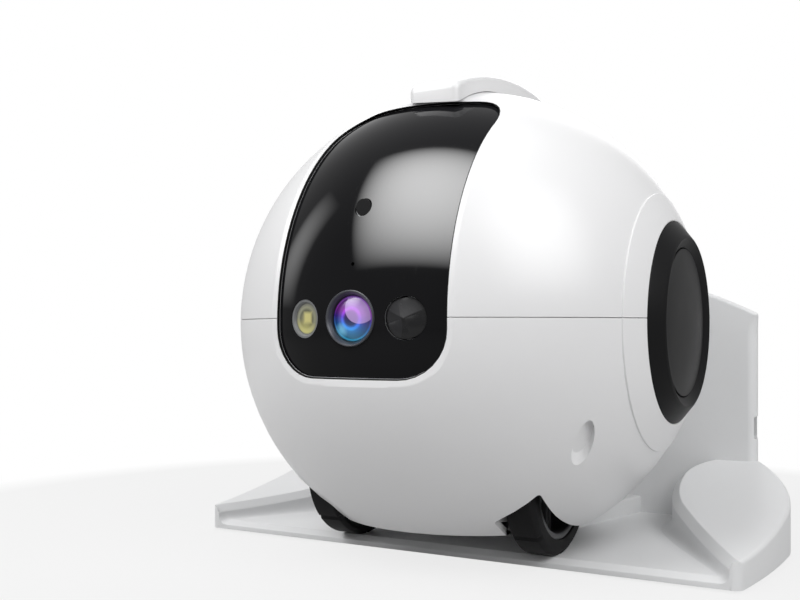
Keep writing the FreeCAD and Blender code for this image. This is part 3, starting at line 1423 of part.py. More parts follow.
def dock_housing():
    """Tray, side pads, contact ledge and the column's front in one moulding, and the column's rear cover."""
    ledge = [
        ("-ledge_nose", "ledge_front"),
        ("-notch_half_width", "ledge_front"),
        ("-notch_half_width", "notch_back"),
        ("notch_half_width", "notch_back"),
        ("notch_half_width", "ledge_front"),
        ("ledge_nose", "ledge_front"),
        ("ledge_root", "column_front + 1"),
        ("-ledge_root", "column_front + 1"),
    ]
    low = "foot_height + plate_wall"
    tongue = prism("ledge", "xy", ledge, low, "ledge_top - (%s)" % low)
    scooped = minus("scooped_column", column(), ball("ball_space", "ball_radius + ball_room", BALL_Z))
    ahead = box("ahead_of_cover", (MINUS_FAR, MINUS_FAR, MINUS_FAR), (FAR, "cover_front", FAR))
    behind = box("behind_cover_front", (MINUS_FAR, "cover_front", MINUS_FAR), (FAR, FAR, FAR))
    whole = joined("dock_whole", dock_pads(), tongue, shared("column_ahead", scooped, ahead))

    def pin_bore(name, side):
        x = "%d * plate_x" % side
        guide = rod(name + "_guide", "z", "pin_radius + running_gap", (x, "plate_y", "0"), "ledge_top + 1")
        return joined(name, guide, rod(name + "_room", "z", "pin_flange + 2 * running_gap", (x, "plate_y", "0"), PIN_STOP))

    def pilots(name):
        deep = "plate_screw_length + boss_wall"
        return cornered(name, lambda title, a, b: plate_screw_rod(title, a, b, "screw_radius", deep))

    inlet_low = (JACK_START, "inlet_y - inlet_half", "inlet_z - inlet_half")
    cuts = [
        plate_room("plate_space", "0", low),
        mirrored("pin_bores", pin_bore),
        box("inlet_notch", inlet_low, (FAR, "cover_front + 1", "inlet_z + inlet_half")),
        pilots("plate_pilots"),
    ]
    piece("dock_housing", minus("dock_housing", whole, *cuts), "dock")
    half = "(column_rear_width - dock_wall)"
    inner = "(column_arch - dock_wall)"
    middle = "column_shoulder - sqrt(column_arch^2 - column_half_width^2)"
    crest = "%s + sqrt(%s^2 - %s^2)" % (middle, inner, half)
    room = [
        ("-" + half, "0"),
        (half, "0"),
        (half, crest, inner),
        ("-" + half, crest),
    ]
    space = prism("cover_space", "xz", room, "-(column_back - dock_wall)", "column_back - dock_wall")
    thick, tall = "screw_radius + boss_wall", "plate_screw_length + 2 * boss_wall"
    bosses = cornered("cover_bosses", lambda name, a, b: plate_screw_rod(name, a, b, thick, tall))
    shell = minus("cover_shell", shared("column_behind", scooped, behind), space)
    bosses = shared("cover_rear_bosses", bosses, behind)
    cover = joined("cover_whole", shell, bosses)
    cuts = [plate_room("cover_plate_space", "0", low), pilots("cover_pilots")]
    piece("dock_cover", minus("dock_cover", cover, *cuts), "dock")


def plate_screw_rod(name, across, along, radius, length, start="foot_height"):
    """A cylinder up the axis of one of the bottom plate's screws."""
    y = "plate_screw_y + %d * plate_screw_reach" % along
    return rod(name, "z", radius, ("%d * plate_screw_x" % across, y, start), length)


def bottom_plate():
    """The dock's bottom plate with its feet and screws."""
    plate = plate_room("plate_sheet", "foot_height", "foot_height + plate_wall")
    clear = "screw_head_radius + running_gap"
    heads = cornered("plate_heads", lambda name, a, b: plate_screw_rod(name, a, b, clear, "plate_screw_head + fit_gap"))
    clear_shank = "screw_radius + 2 * running_gap"
    holes = cornered("plate_holes", lambda name, a, b: plate_screw_rod(name, a, b, clear_shank, "2 * plate_wall"))
    piece("dock_bottom_plate", minus("dock_bottom_plate", plate, heads, holes), "dock")

    def screw(name, across, along):
        start = "foot_height + fit_gap"
        head = plate_screw_rod(name + "_head", across, along, "screw_head_radius", "plate_screw_head", start)
        start += " + plate_screw_head / 2"
        return joined(name, head, plate_screw_rod(name + "_shank", across, along, "screw_radius", "plate_screw_length", start))

    piece("dock_screws", cornered("dock_screws", screw), "dock")

    def foot(name, across, along):
        inset = "(column_back - dock_front - foot_radius) / 2 - 2 * foot_radius"
        y = "(dock_front + foot_radius + column_back) / 2 + %d * (%s)" % (along, inset)
        start = ("%d * (column_rear_width - 2 * foot_radius)" % across, y, "0")
        return rod(name, "z", "foot_radius", start, "foot_height")

    piece("dock_feet", cornered("dock_feet", foot), "dock")


def sleeve_wave(radius, low, height, count):
    """Corners up a wall that waves in and out."""
    corners = []
    for step in range(2 * count + 1):
        swing = "spring_wire / 2" if step % 2 else "-spring_wire / 2"
        corners.append(("%s + %s" % (radius, swing), "%s + (%s) * %d / %d" % (low, height, step, 2 * count)))
    return corners


def charging_pins():
    """Two sprung pins in the ledge, which press on the robot's plates, each on a thin waved sleeve."""
    flange_low = PIN_STOP + " - running_gap * 2 - pin_lip"
    for label, side in (("left", 1), ("right", -1)):
        at = ("%d * plate_x" % side, "plate_y", "0")
        pin = turned(
            "charge_pin_" + label,
            "xz",
            [
                ("0", flange_low),
                ("pin_flange", flange_low),
                ("pin_flange", PIN_STOP + " - running_gap * 2"),
                ("pin_radius", PIN_STOP + " - running_gap * 2"),
                ("pin_radius", "%s - pin_radius" % PIN_TIP, "pin_radius"),
                ("0", PIN_TIP),
            ],
            "V_Axis",
        )
        piece("charge_pin_" + label, pin, "dock", at=at)
        low = "foot_height + plate_wall"
        height = "%s - (%s)" % (flange_low, low)
        count = int(value("spring_turns"))
        outer = sleeve_wave("pin_flange - 1.5 * spring_wire", low, height, count)
        inner = sleeve_wave("pin_flange - 2.5 * spring_wire", low, height, count)
        spring = turned("pin_spring_" + label, "xz", outer + inner[::-1], "V_Axis")
        piece("pin_spring_" + label, spring, "dock", at=at)


def dock_electronics():
    """The charger board behind the column's front and the power inlet between front and cover."""
    end = "column_half_width - inlet_depth"
    low = (JACK_START, "inlet_y - inlet_half", "inlet_z - inlet_half")
    jack = box("jack_body", low, (end, "cover_front", "inlet_z + inlet_half"))
    start = (end + " - jack_depth", "inlet_y", "inlet_z")
    bore = rod("jack_bore", "x", "jack_radius", start, FAR)
    piece("power_inlet", minus("power_inlet", jack, bore), "dock")
    floor = "foot_height + plate_wall"
    near = "cover_front + charger_set"
    low = ("charger_x", near, floor)
    board = box("charger_sheet", low, ("charger_x + charger_width", near + " + board_thick", "charger_height"))
    side = "charger_width / 3"
    low = ("charger_x + " + side, near + " + board_thick", "charger_height / 3")
    high = ("charger_x + 2 * " + side, near + " + 4 * board_thick", "charger_height * 2 / 3")
    piece("charger_board", joined("charger_board", board, box("charger_coil", low, high)), "dock")


# ---------------------------------------------------------------------------------------------------------------


def main():
    form = ball_form()
    shell = open_shell(form)
    upper_shell(shell)
    lower_shell(shell, form)
    shell_screws()
    side_trim()
    visor()
    visor_seal()
    visor_carrier()
    camera()
    instruments()
    wheels()
    castor()
    chassis()
    main_board()
    battery()
    speaker()
    charge_plates()
    power_button()
    treat_lid()
    launch_chute()
    launch_paddle()
    hopper()
    treat_rotor()
    dock_housing()
    bottom_plate()
    charging_pins()
    dock_electronics()
    doc.recompute()
    broken = [item.Label for item in doc.Objects if {"Invalid", "Error"} & set(item.State)]
    broken += [item.Label for item in PIECES if item.Shape.isNull() or not item.Shape.isValid()]
    if broken:
        raise RuntimeError("these objects failed: " + ", ".join(broken))
    os.makedirs("parts", exist_ok=True)
    for item in PIECES:
        item.Shape.exportStep(os.path.join("parts", item.Label + ".step"))
        print("%-18s %2d solids %12.1f mm3" % (item.Label, len(item.Shape.Solids), item.Shape.Volume))


main()
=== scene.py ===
"""Treat tossing pet camera on its charging dock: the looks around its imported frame, laid out as an add-on."""

import math

import bmesh
import bpy
import numpy as np
from bpy.props import FloatProperty, FloatVectorProperty, PointerProperty
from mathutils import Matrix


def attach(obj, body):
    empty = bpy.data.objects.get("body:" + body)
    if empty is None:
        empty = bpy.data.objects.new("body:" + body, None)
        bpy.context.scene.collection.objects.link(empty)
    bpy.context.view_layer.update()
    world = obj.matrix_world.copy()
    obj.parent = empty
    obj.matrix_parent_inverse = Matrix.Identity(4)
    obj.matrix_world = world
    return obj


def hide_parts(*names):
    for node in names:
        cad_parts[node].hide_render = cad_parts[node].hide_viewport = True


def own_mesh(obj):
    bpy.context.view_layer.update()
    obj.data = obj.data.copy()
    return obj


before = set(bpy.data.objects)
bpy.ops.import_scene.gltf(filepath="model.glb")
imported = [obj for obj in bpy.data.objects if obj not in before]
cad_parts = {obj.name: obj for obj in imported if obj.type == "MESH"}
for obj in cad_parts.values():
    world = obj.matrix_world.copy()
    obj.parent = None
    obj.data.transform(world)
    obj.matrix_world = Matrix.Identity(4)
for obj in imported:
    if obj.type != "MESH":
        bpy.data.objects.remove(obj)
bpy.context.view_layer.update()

bl_info = {
    "name": "Treat tossing pet camera",
    "version": (1, 0, 0),
    "blender": (4, 5, 0),
    "location": "3D View > Sidebar > Pet Camera",
    "description": "Builds the surfaces and finishes of a treat tossing pet camera on its charging dock",
    "category": "Object",
}

MM = 0.001
FULL_TURN = 2 * math.pi
SIDES = {"left": 1, "right": -1}

# The robot's pieces are built about the ball's centre, the dock's about the floor below it, and then moved.
BALL = np.array([0.0, -12.625, 98.1]) * MM
DOCK_FLOOR = BALL * [1, 1, 0]

# Beyond every surface of the ball and far under it, for cuts that go all the way through
OUTSIDE, DEEP = 150 * MM, -200 * MM

# Places that several pieces share, in millimetres and degrees
EYE_LEVEL, EYE_TURN = 1.2, 12.8
LENS_RADIUS, LAMP_RADIUS, SENSOR_RADIUS = 8.7, 7.2, 7.5
CONTACT_SIDE, CONTACT_BACK = 27, 42


def mm(numbers):
    """Millimetres, in lists of any shape, as an array in metres."""
    return np.array(numbers, float) * MM


# ------------------------------------------------------------------------------
# Sizes and colours


def length(name, description, default):
    return FloatProperty(
        name=name, description=description, default=default * MM, min=0.0, unit="LENGTH", precision=4
    )


def colour(name, description, default):
    return FloatVectorProperty(
        name=name, description=description, default=default, min=0.0, max=1.0, size=3, subtype="COLOR"
    )


class PetCameraRobotSizes(bpy.types.PropertyGroup):
    """Sizes of the robot's outer pieces."""

    ball: length("Ball", "Outside radius of the round shells", 100)
    wall: length("Wall", "Thickness of the shells", 2.4)
    seam: length("Seam", "Height of the joint between the shells over the ball's centre", 1.4)
    seam_edge: length("Seam edge", "Rounding of both shells' edges at the joint", 0.3)
    flat: length("Underside", "Depth of the flat underside below the ball's centre", 83)
    cheek: length("Cheek", "Radius of the raised round area on each side", 51.5)
    cheek_rise: length("Cheek rise", "How far the raised area stands proud", 0.5)
    visor_side: length("Visor side", "Half the visor's width", 36.2)
    visor_low: length("Visor low", "The visor's lower edge below the ball's centre", 20.6)
    visor_top: length("Visor top", "The visor's upper edge above the ball's centre", 87.7)
    visor_wall: length("Visor wall", "Thickness of the visor", 0.6)
    visor_set: length("Visor depth", "How far the visor lies below the shells' surface", 2.0)
    seal: length("Seal", "Width of the black seal round the visor", 0.4)
    bevel: length("Opening bevel", "Width of the slope that leads from the shells to the seal", 2.6)
    bevel_fall: length("Opening depth", "Depth of that slope at the seal", 0.75)
    seam_gap: length("Seam gap", "Open joint between the shells", 0.2)


class PetCameraDockSizes(bpy.types.PropertyGroup):
    """Sizes of the charging dock; depths along Y are measured from the ball's place in the dock."""

    foot: length("Foot", "Height of the housing over the floor", 0.9)
    tray: length("Tray", "Height of the tray that the wheels stand on", 5)
    nose: length("Nose", "Slope of the tray's front edge", 3)
    front: length("Front", "How far the front edge lies ahead", 28.5)
    front_width: length("Front width", "Half the dock's width at its front edge", 122.3)
    widest_width: length("Greatest width", "Half the dock's width where it is widest", 127.5)
    widest: length("Widest place", "How far back the dock is widest", 40)
    pad_front: length("Pad front", "Height of the side pads at the front", 11.7)
    pad_rear: length("Pad rear", "Height of the side pads at the column", 33.5)
    pad_hollow: length("Pad hollow", "Radius of the pads' hollowed top", 420)
    pad_edge: length("Pad edge", "Rounding of the pads' outer edges", 1.4)
    bay_mouth: length("Bay mouth", "Half the parking bay's width at the front", 118.3)
    bay_throat: length("Bay throat", "Half its width where its sides start to curve", 82.6)
    bay_throat_set: length("Throat place", "How far back that is", 36.3)
    bay_waist: length("Bay waist", "Half the bay's width at its narrowest", 72.9)
    bay_waist_set: length("Waist place", "How far back that is", 74)
    bay_rear: length("Bay rear", "Half the bay's width at its rounded end", 83.6)
    bay_bevel: length("Bay bevel", "Slope of the pads' edges along the bay", 3.2)
    bay_foot: length("Bay foot", "Rounding between the pads' walls and the tray", 5)
    column_front: length("Column front", "How far back the column's front face lies", 92)
    cover_front: length("Cover front", "How far back the column's rear cover starts", 106)
    column_back: length("Column back", "How far back the column's rear face lies", 125)
    column_width: length("Column width", "Half the column's width at its front", 106)
    column_rear: length("Column rear width", "Half the column's width at its rear", 98)
    column_shoulder: length("Column shoulder", "Height of the column at its sides", 103)
    column_arch: length("Column arch", "Radius of the column's arched top", 235)
    column_edge: length("Column edge", "Rounding of the column's upright edges", 5.5)
    column_bevel: length("Column bevel", "Rounding of the column's top edges", 2.0)
    joint: length("Joint", "Gap between the housing and the column's cover", 0.25)


class PetCameraColours(bpy.types.PropertyGroup):
    """Colours of the finishes."""

    shell: colour("Shell", "White moulded shells and lid", (0.82, 0.82, 0.825))
    dock: colour("Dock", "White dock", (0.78, 0.785, 0.79))
    visor: colour("Visor", "Glossy black visor", (0.0008, 0.0008, 0.0009))
    ring: colour("Ring", "Graphite side rings", (0.005, 0.005, 0.0055))
    cap: colour("Cap", "Satin side caps", (0.008, 0.008, 0.0085))
    tyre: colour("Tyre", "Rubber tyres", (0.006, 0.006, 0.0065))
    rim: colour("Rim", "Moulded rims", (0.045, 0.046, 0.048))


# ------------------------------------------------------------------------------
# Shapes: arrays of points and of the faces between them


def grid(points, around=False, over=False, capped=False):
    """A grid of points, rows by columns by xyz, as a flat list of points and its quads.

    The face (i, j) has the corners (i, j), (i, j + 1), (i + 1, j + 1) and (i + 1, j). Around joins the last
    column to the first and over joins the last row to the first. Capped closes both ends of the tube that one
    of them makes, with a face each.
    """
    rows, columns = points.shape[:2]
    row = np.arange(rows if over else rows - 1)[:, None]
    column = np.arange(columns if around else columns - 1)[None, :]
    row_after, column_after = (row + 1) % rows, (column + 1) % columns
    corners = [(row, column), (row, column_after), (row_after, column_after), (row_after, column)]
    faces = np.stack([(r * columns + c).ravel() for r, c in corners], axis=1).tolist()
    if capped:
        number = np.arange(rows * columns).reshape(rows, columns)
        faces += (number[[0, -1]] if around else number[:, [0, -1]].T).tolist()
    return points.reshape(-1, 3), faces


def together(*parts):
    """Several lists of points and faces as one."""
    points, faces, start = [], [], 0
    for part_points, part_faces in parts:
        points.append(part_points)
        faces += [[start + n for n in face] for face in part_faces]
        start += len(part_points)
    return np.concatenate(points), faces


def rounded(corners, radii, steps=5, closed=True):
    """A polygon with round corners.

    Each corner P becomes the arc between its tangent points A and B, as the conic
    ((1-s)^2 A + 2 s (1-s) w P + s^2 B) / ((1-s)^2 + 2 s (1-s) w + s^2), where w is the sine of half the
    corner's angle and A and B lie at radius / tan(half angle) from P.
    """
    corner = np.array(corners, float)
    radius = np.broadcast_to(np.array(radii, float), len(corner)).copy()
    back, on = np.roll(corner, 1, 0) - corner, np.roll(corner, -1, 0) - corner
    if not closed:
        radius[[0, -1]] = 0
    reach = np.minimum(np.linalg.norm(back, axis=1), np.linalg.norm(on, axis=1)) / 2
    back, on = [v / np.maximum(np.linalg.norm(v, axis=1, keepdims=True), 1e-12) for v in (back, on)]
    half = np.arccos(np.clip((back * on).sum(1), -1, 1)) / 2
    tangent = np.minimum(radius / np.maximum(np.tan(half), 1e-9), reach)
    start, stop = corner + back * tangent[:, None], corner + on * tangent[:, None]
    s = np.linspace(0, 1, steps)[None, :, None]
    weight = np.sin(half)[:, None, None]
    first, middle, last = (1 - s) ** 2, 2 * s * (1 - s) * weight, s**2
    arc = first * start[:, None] + middle * corner[:, None] + last * stop[:, None]
    points = (arc / (first + middle + last)).reshape(-1, 2)
    keep = np.linalg.norm(points - np.roll(points, 1, 0), axis=1) > 1e-9
    if not closed:
        keep[0] = True
    return points[keep]


def refined(points, step, closed=False):
    """An outline with further points set between its own ones, at most a step apart along it."""
    line = np.concatenate([points, points[:1]]) if closed else points
    run = np.concatenate([[0], np.cumsum(np.linalg.norm(np.diff(line, axis=0), axis=1))])
    extra = np.arange(0, run[-1], step)
    near = np.abs(run[None, :] - extra[:, None]).min(1)
    at = np.sort(np.concatenate([run, extra[near > step / 3]]))
    at = at[:-1] if closed else at
    return np.stack([np.interp(at, run, line[:, k]) for k in range(2)], axis=1)


def outwards(points, closed=True):
    """Mitred normals of a counter-clockwise outline: (n1 + n2) / (1 + n1 . n2) of the sides that meet."""
    line = np.concatenate([points, points[:1]]) if closed else points
    side = np.diff(line, axis=0)
    normal = np.stack([side[:, 1], -side[:, 0]], axis=1)
    normal /= np.maximum(np.linalg.norm(normal, axis=1, keepdims=True), 1e-12)
    if closed:
        before, after = np.roll(normal, 1, 0), normal
    else:
        before, after = np.concatenate([normal[:1], normal]), np.concatenate([normal, normal[-1:]])
    return (before + after) / np.maximum(1 + (before * after).sum(1, keepdims=True), 0.2)


def along(axis, across, up, distance):
    """Stacks two plan coordinates and a distance along an axis as xyz.

    The plan is (y, z) for the axis x, (x, z) for y and (x, y) for z.
    """
    if axis == "x":
        return np.stack([distance, across, up], axis=-1)
    if axis == "y":
        return np.stack([across, distance, up], axis=-1)
    return np.stack([across, up, distance], axis=-1)


def quarter(steps):
    """A quarter round's shares of inset and depth, 1 - cos a and 1 - sin a, from the side to the face."""
    turn = np.linspace(0, math.pi / 2, steps)
    return 1 - np.cos(turn), 1 - np.sin(turn)


def both_ends(low, high, steps):
    """The low and the high end of a bar: place, way inwards, and quarter round in rows from low to high."""
    inset, depth = quarter(steps)
    return (low, 1, inset[::-1], depth[::-1]), (high, -1, inset, depth)


def slab(outline, axis, low, high, edge_low=0.0, edge_high=0.0, steps=4):
    """An outline carried straight along an axis, its edges rounded by a radius that may vary along it.

    In the rounding the outline moves in by edge (1 - cos a) while the height moves by edge (1 - sin a).
    """
    normal = outwards(outline)
    rings = []
    for edge, (level, inwards, inset, depth) in zip((edge_low, edge_high), both_ends(low, high, steps)):
        edge = np.broadcast_to(np.array(edge, float), len(outline))
        plan = outline - normal * (inset[:, None] * edge)[..., None]
        rings.append(along(axis, plan[..., 0], plan[..., 1], level + inwards * depth[:, None] * edge))
    return grid(np.concatenate(rings), around=True, capped=True)


def circle_outline(radius, centre=(0.0, 0.0), segments=48):
    turn = np.linspace(0, FULL_TURN, segments, endpoint=False)
    return np.stack([np.cos(turn), np.sin(turn)], axis=1) * radius + np.array(centre)


def box_outline(low, high, turn=0.0):
    """A rectangle between two corners, its own corners rounded by a radius."""
    return rounded([(low[0], low[1]), (high[0], low[1]), (high[0], high[1]), (low[0], high[1])], turn, 5)


def disc_prism(axis, radius, low, high, centre=(0.0, 0.0), segments=72):
    """A plain cylinder as a closed slab."""
    return slab(circle_outline(radius, centre, segments), axis, low, high, steps=2)


def box_prism(low, high, turn=0.0):
    """A box with round upright corners as a closed slab."""
    return slab(box_outline(low, high, turn), "z", low[2], high[2], steps=2)


def lathe(profile, axis, centre=(0, 0, 0), segments=96, wave=None):
    """A profile of (distance along, radius) turned about an axis through a centre.

    A point at the angle a lies at radius (cos a, sin a) across the axis. Wave, where given, is a function of
    the distance, the radius and the angle that returns the new radius.
    """
    profile = np.asarray(profile, float)
    angle = np.linspace(0, FULL_TURN, segments, endpoint=False)[None, :]
    distance = np.broadcast_to(profile[:, :1], (len(profile), segments))
    radius = np.broadcast_to(profile[:, 1:], distance.shape)
    if wave:
        radius = wave(distance, radius, np.broadcast_to(angle, distance.shape))
    points = along(axis, radius * np.cos(angle), radius * np.sin(angle), distance) + np.array(centre)
    return grid(points, around=True, over=bool(profile[[0, -1], 1].max() > 1e-9))


def crown(radius, rise, edge, steps=12):
    """A round arc from the axis out to a radius: x = edge + rise - (s - sqrt(s^2 - r^2)), s the sphere's."""
    sphere = (radius**2 + rise**2) / (2 * rise)
    r = np.linspace(0, radius, steps)
    return np.stack([edge + rise - (sphere - np.sqrt(sphere**2 - r**2)), r], axis=1)


def turned_z(points, degrees):
    """Points turned about the upright: (x cos a - y sin a, x sin a + y cos a, z)."""
    c, s = math.cos(math.radians(degrees)), math.sin(math.radians(degrees))
    return points @ np.array([[c, s, 0], [-s, c, 0], [0, 0, 1.0]])


# ------------------------------------------------------------------------------
# Pieces: meshes with a finish, riding on a body


def new_mesh(name, shape):
    """A mesh from points and faces, with doubles merged and its faces turned outwards."""
    points, faces = shape
    mesh = bpy.data.meshes.new(name)
    mesh.from_pydata(points.tolist(), [], faces)
    work = bmesh.new()
    work.from_mesh(mesh)
    bmesh.ops.remove_doubles(work, verts=work.verts, dist=1e-6)
    bmesh.ops.dissolve_degenerate(work, edges=work.edges, dist=1e-7)
    bmesh.ops.recalc_face_normals(work, faces=work.faces)
    work.to_mesh(mesh)
    work.free()
    return mesh


def new_object(name, mesh):
    thing = bpy.data.objects.new(name, mesh)
    bpy.context.scene.collection.objects.link(thing)
    return thing


def carved(shape, *cutters):
    """A closed shape after others are cut from it, one after another, as points and faces."""
    target = new_object("carving", new_mesh("carving", shape))
    tools = [new_object("cutter", new_mesh("cutter", cutter)) for cutter in cutters]
    for tool in tools:
        step = target.modifiers.new("cut", "BOOLEAN")
        step.object, step.operation, step.solver = tool, "DIFFERENCE", "EXACT"
    bpy.context.view_layer.update()
    done = target.evaluated_get(bpy.context.evaluated_depsgraph_get()).to_mesh()
    points = np.empty(len(done.vertices) * 3, np.float32)
    done.vertices.foreach_get("co", points)
    faces = [list(face.vertices) for face in done.polygons]
    for thing in [target, *tools]:
        mesh = thing.data
        bpy.data.objects.remove(thing)
        bpy.data.meshes.remove(mesh)
    return points.reshape(-1, 3).astype(float), faces


def round_normals(mesh, centre, radii, tolerance=0.03 * MM):
    """Sets the normals of the faces that lie on spheres to point straight out of their centre."""
    count = len(mesh.loops)
    corner, normal = np.empty(count, np.int32), np.empty(count * 3, np.float32)
    mesh.loops.foreach_get("vertex_index", corner)
    mesh.corner_normals.foreach_get("vector", normal)
    point = np.empty(len(mesh.vertices) * 3, np.float32)
    mesh.vertices.foreach_get("co", point)
    ray = point.reshape(-1, 3)[corner] - np.array(centre)
    reach = np.linalg.norm(ray, axis=1)
    ray /= np.maximum(reach, 1e-9)[:, None]
    normal = normal.reshape(-1, 3)
    on = np.any([np.abs(reach - radius) < tolerance for radius in radii], axis=0)
    on &= np.abs((normal * ray).sum(1)) > 0.97
    sign = np.sign((normal * ray).sum(1))[:, None]
    mesh.normals_split_custom_set(np.where(on[:, None], ray * sign, normal).tolist())


def make_piece(
    name, shape, finish, body, node=None, slot=None, sharp=32.0, spheres=None, shift=BALL, even=False
):
    """One finished piece: its shape moved to its place, with a finish, riding on a body in place of a node.

    The slot argument is not used. Spheres are the radii on which normals
    point straight out; even weighs normals by the faces' areas.
    """
    points, faces = shape
    mesh = new_mesh(name, (points + shift, faces))
    mesh.shade_smooth()
    mesh.set_sharp_from_angle(angle=math.radians(sharp))
    if spheres:
        round_normals(mesh, shift, spheres)
    mesh.materials.append(material(finish))
    thing = new_object(name, mesh)
    if even:
        thing.modifiers.new("even", "WEIGHTED_NORMAL").keep_sharp = True
    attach(thing, body)
    if node:
        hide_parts(node)


# ------------------------------------------------------------------------------
# Materials


class Field:
    """A value that varies over a surface: one socket, with arithmetic that adds Math nodes."""

    def __init__(self, paint, socket):
        self.paint, self.socket = paint, socket

    def joined(self, operation, *others):
        inputs = dict(enumerate((self, *others)))
        return self.paint.node("ShaderNodeMath", {"operation": operation}, inputs)[0]

    def __add__(self, other):
        return self.joined("ADD", other)

    __radd__ = __add__

    def __mul__(self, other):
        return self.joined("MULTIPLY", other)

    __rmul__ = __mul__

    def __sub__(self, other):
        return self.joined("SUBTRACT", other)

    def __rsub__(self, other):
        return (self * -1) + other

    def __truediv__(self, other):
        return self.joined("DIVIDE", other)

    def __abs__(self):
        return self.joined("ABSOLUTE")

    def most(self, other):
        return self.joined("MAXIMUM", other)


class Outputs:
    """A node's outputs by name or number, each as a Field."""

    def __init__(self, paint, node):
        self.paint, self.raw = paint, node

    def __getitem__(self, key):
        return Field(self.paint, self.raw.outputs[key])


class Paint:
    """The nodes of a new material, by its name, or of the world or a lamp."""

    def __init__(self, owner):
        self.owner = bpy.data.materials.new(owner) if isinstance(owner, str) else owner
        self.owner.use_nodes = True
        self.tree = self.owner.node_tree
        self.tree.nodes.clear()

    def node(self, kind, settings=None, inputs=None):
        """Adds a node, gives it its settings and then its sockets' values or links."""
        made = self.tree.nodes.new(kind)
        for name, setting in (settings or {}).items():
            if name == "stops":
                ramp = made.color_ramp
                while len(ramp.elements) < len(setting):
                    ramp.elements.new(0.5)
                for element, (position, stop) in zip(ramp.elements, setting):
                    element.position, element.color = position, (*stop, 1.0)
            else:
                setattr(made, name, setting)
        for key, given in (inputs or {}).items():
            if isinstance(given, Field):
                self.tree.links.new(given.socket, made.inputs[key])
            else:
                made.inputs[key].default_value = given
        return Outputs(self, made)

    def mapped(self, vector, **inputs):
        return self.node("ShaderNodeMapping", {"vector_type": "POINT"}, {"Vector": vector, **inputs})[0]

    def place(self, centre=(0, 0, 0), turn=0.0):
        """Object coordinates about a centre in metres, turned about the upright by degrees."""
        at = self.mapped(self.node("ShaderNodeTexCoord")["Object"], Location=[-c for c in centre])
        return self.mapped(at, Rotation=(0, 0, math.radians(-turn))) if turn else at

    def eye(self, x=0.0, z=EYE_LEVEL, turn=0.0):
        """Object coordinates about a point x beside and z over the ball's centre, in millimetres."""
        return self.place(BALL + mm([x, 0, z]), turn)

    def axes(self, vector):
        split = self.node("ShaderNodeSeparateXYZ", None, {0: vector})
        return split["X"], split["Y"], split["Z"]

    def distance(self, vector, axis):
        """The distance from an axis through the origin."""
        keep = [0.0 if name == axis else 1.0 for name in "xyz"]
        vector = self.node("ShaderNodeVectorMath", {"operation": "MULTIPLY"}, {0: vector, 1: keep})[0]
        return self.node("ShaderNodeVectorMath", {"operation": "LENGTH"}, {0: vector})["Value"]

    def noise(self, vector, scale, detail=2.0):
        return self.node("ShaderNodeTexNoise", None, {"Vector": vector, "Scale": scale, "Detail": detail})[0]

    def ramp(self, factor, stops):
        return self.node("ShaderNodeValToRGB", {"stops": stops}, {0: factor})[0]

    def blend(self, factor, first, second, how="MIX"):
        """Mixes two colours, each a socket or three numbers."""
        first, second = [c if isinstance(c, Field) else (*c, 1.0) for c in (first, second)]
        settings = {"data_type": "RGBA", "blend_type": how}
        return self.node("ShaderNodeMix", settings, {0: factor, 6: first, 7: second})[2]

    def spread(self, value, low, high, to_low, to_high):
        """Maps a value from one range to another, held at its ends."""
        inputs = {"Value": value, "From Min": low, "From Max": high, "To Min": to_low, "To Max": to_high}
        return self.node("ShaderNodeMapRange", None, inputs)[0]

    def between(self, noise, low, high):
        """Carries a noise's usual range, 0.3 to 0.7, to two numbers or two colours."""
        if isinstance(low, tuple):
            return self.ramp(noise, [(0.3, low), (0.7, high)])
        return self.spread(noise, 0.3, 0.7, low, high)

    def bump(self, height, distance, under=None):
        """A normal raised by a height between 0 and 1 times a distance in mm, over another where given."""
        inputs = {"Height": height, "Distance": distance * MM}
        if under is not None:
            inputs["Normal"] = under
        return self.node("ShaderNodeBump", None, inputs)[0]

    def finish(self, **inputs):
        """Ends the material with a Principled shader: its sockets by name, with _ for a space."""
        given = {name.replace("_", " ").title().replace("Ior", "IOR"): to for name, to in inputs.items()}
        shader = self.node("ShaderNodeBsdfPrincipled", None, given)
        self.node("ShaderNodeOutputMaterial", None, {"Surface": shader["BSDF"]})
        return self.owner


MATERIALS = {}


def material(name):
    """A finish by its name, mixed once."""
    if name not in MATERIALS:
        MATERIALS[name] = FINISHES[name](name)
    return MATERIALS[name]


def user_colour(name):
    """One of the add-on's colours as three numbers."""
    return tuple(getattr(bpy.context.scene.pet_camera_colours, name))


def scaled(tone, share):
    """A colour made brighter or darker by a share, held under 1."""
    return tuple(min(c * share, 1.0) for c in tone)


def moulded(name, tone, rough, grain, height, coat=0.0, mottle=0.02, drift=0.05, shine=0.5):
    """Moulded plastic: faint cloudy tone, roughness that drifts, and a fine pebbled surface.

    Grain is the pebbles' size and height is how far they stand up, both in millimetres.
    """
    paint = Paint(name)
    at = paint.place()
    cloud = paint.noise(at, 22.0, 3.0)
    pebbles = paint.noise(at, 1.0 / (grain * MM))
    return paint.finish(
        base_color=paint.between(cloud, scaled(tone, 1 - mottle), scaled(tone, 1 + mottle)),
        roughness=paint.between(cloud, rough - drift, rough + drift),
        specular_ior_level=shine,
        coat_weight=coat,
        coat_roughness=0.06,
        normal=paint.bump(pebbles, height),
    )


def shell_white(name):
    """Glossy white moulding with an almost invisible ripple."""
    tone = user_colour("shell")
    paint = Paint(name)
    at = paint.place()
    cloud = paint.noise(at, 14.0)
    ripple = paint.noise(at, 160.0)
    speck = paint.noise(at, 2600.0, 1.0)
    return paint.finish(
        base_color=paint.between(cloud, scaled(tone, 0.985), tone),
        roughness=paint.between(cloud, 0.3, 0.36) + paint.between(speck, -0.02, 0.02),
        coat_weight=0.25,
        coat_roughness=0.12,
        normal=paint.bump(ripple, 0.008, under=paint.bump(speck, 0.0015)),
    )


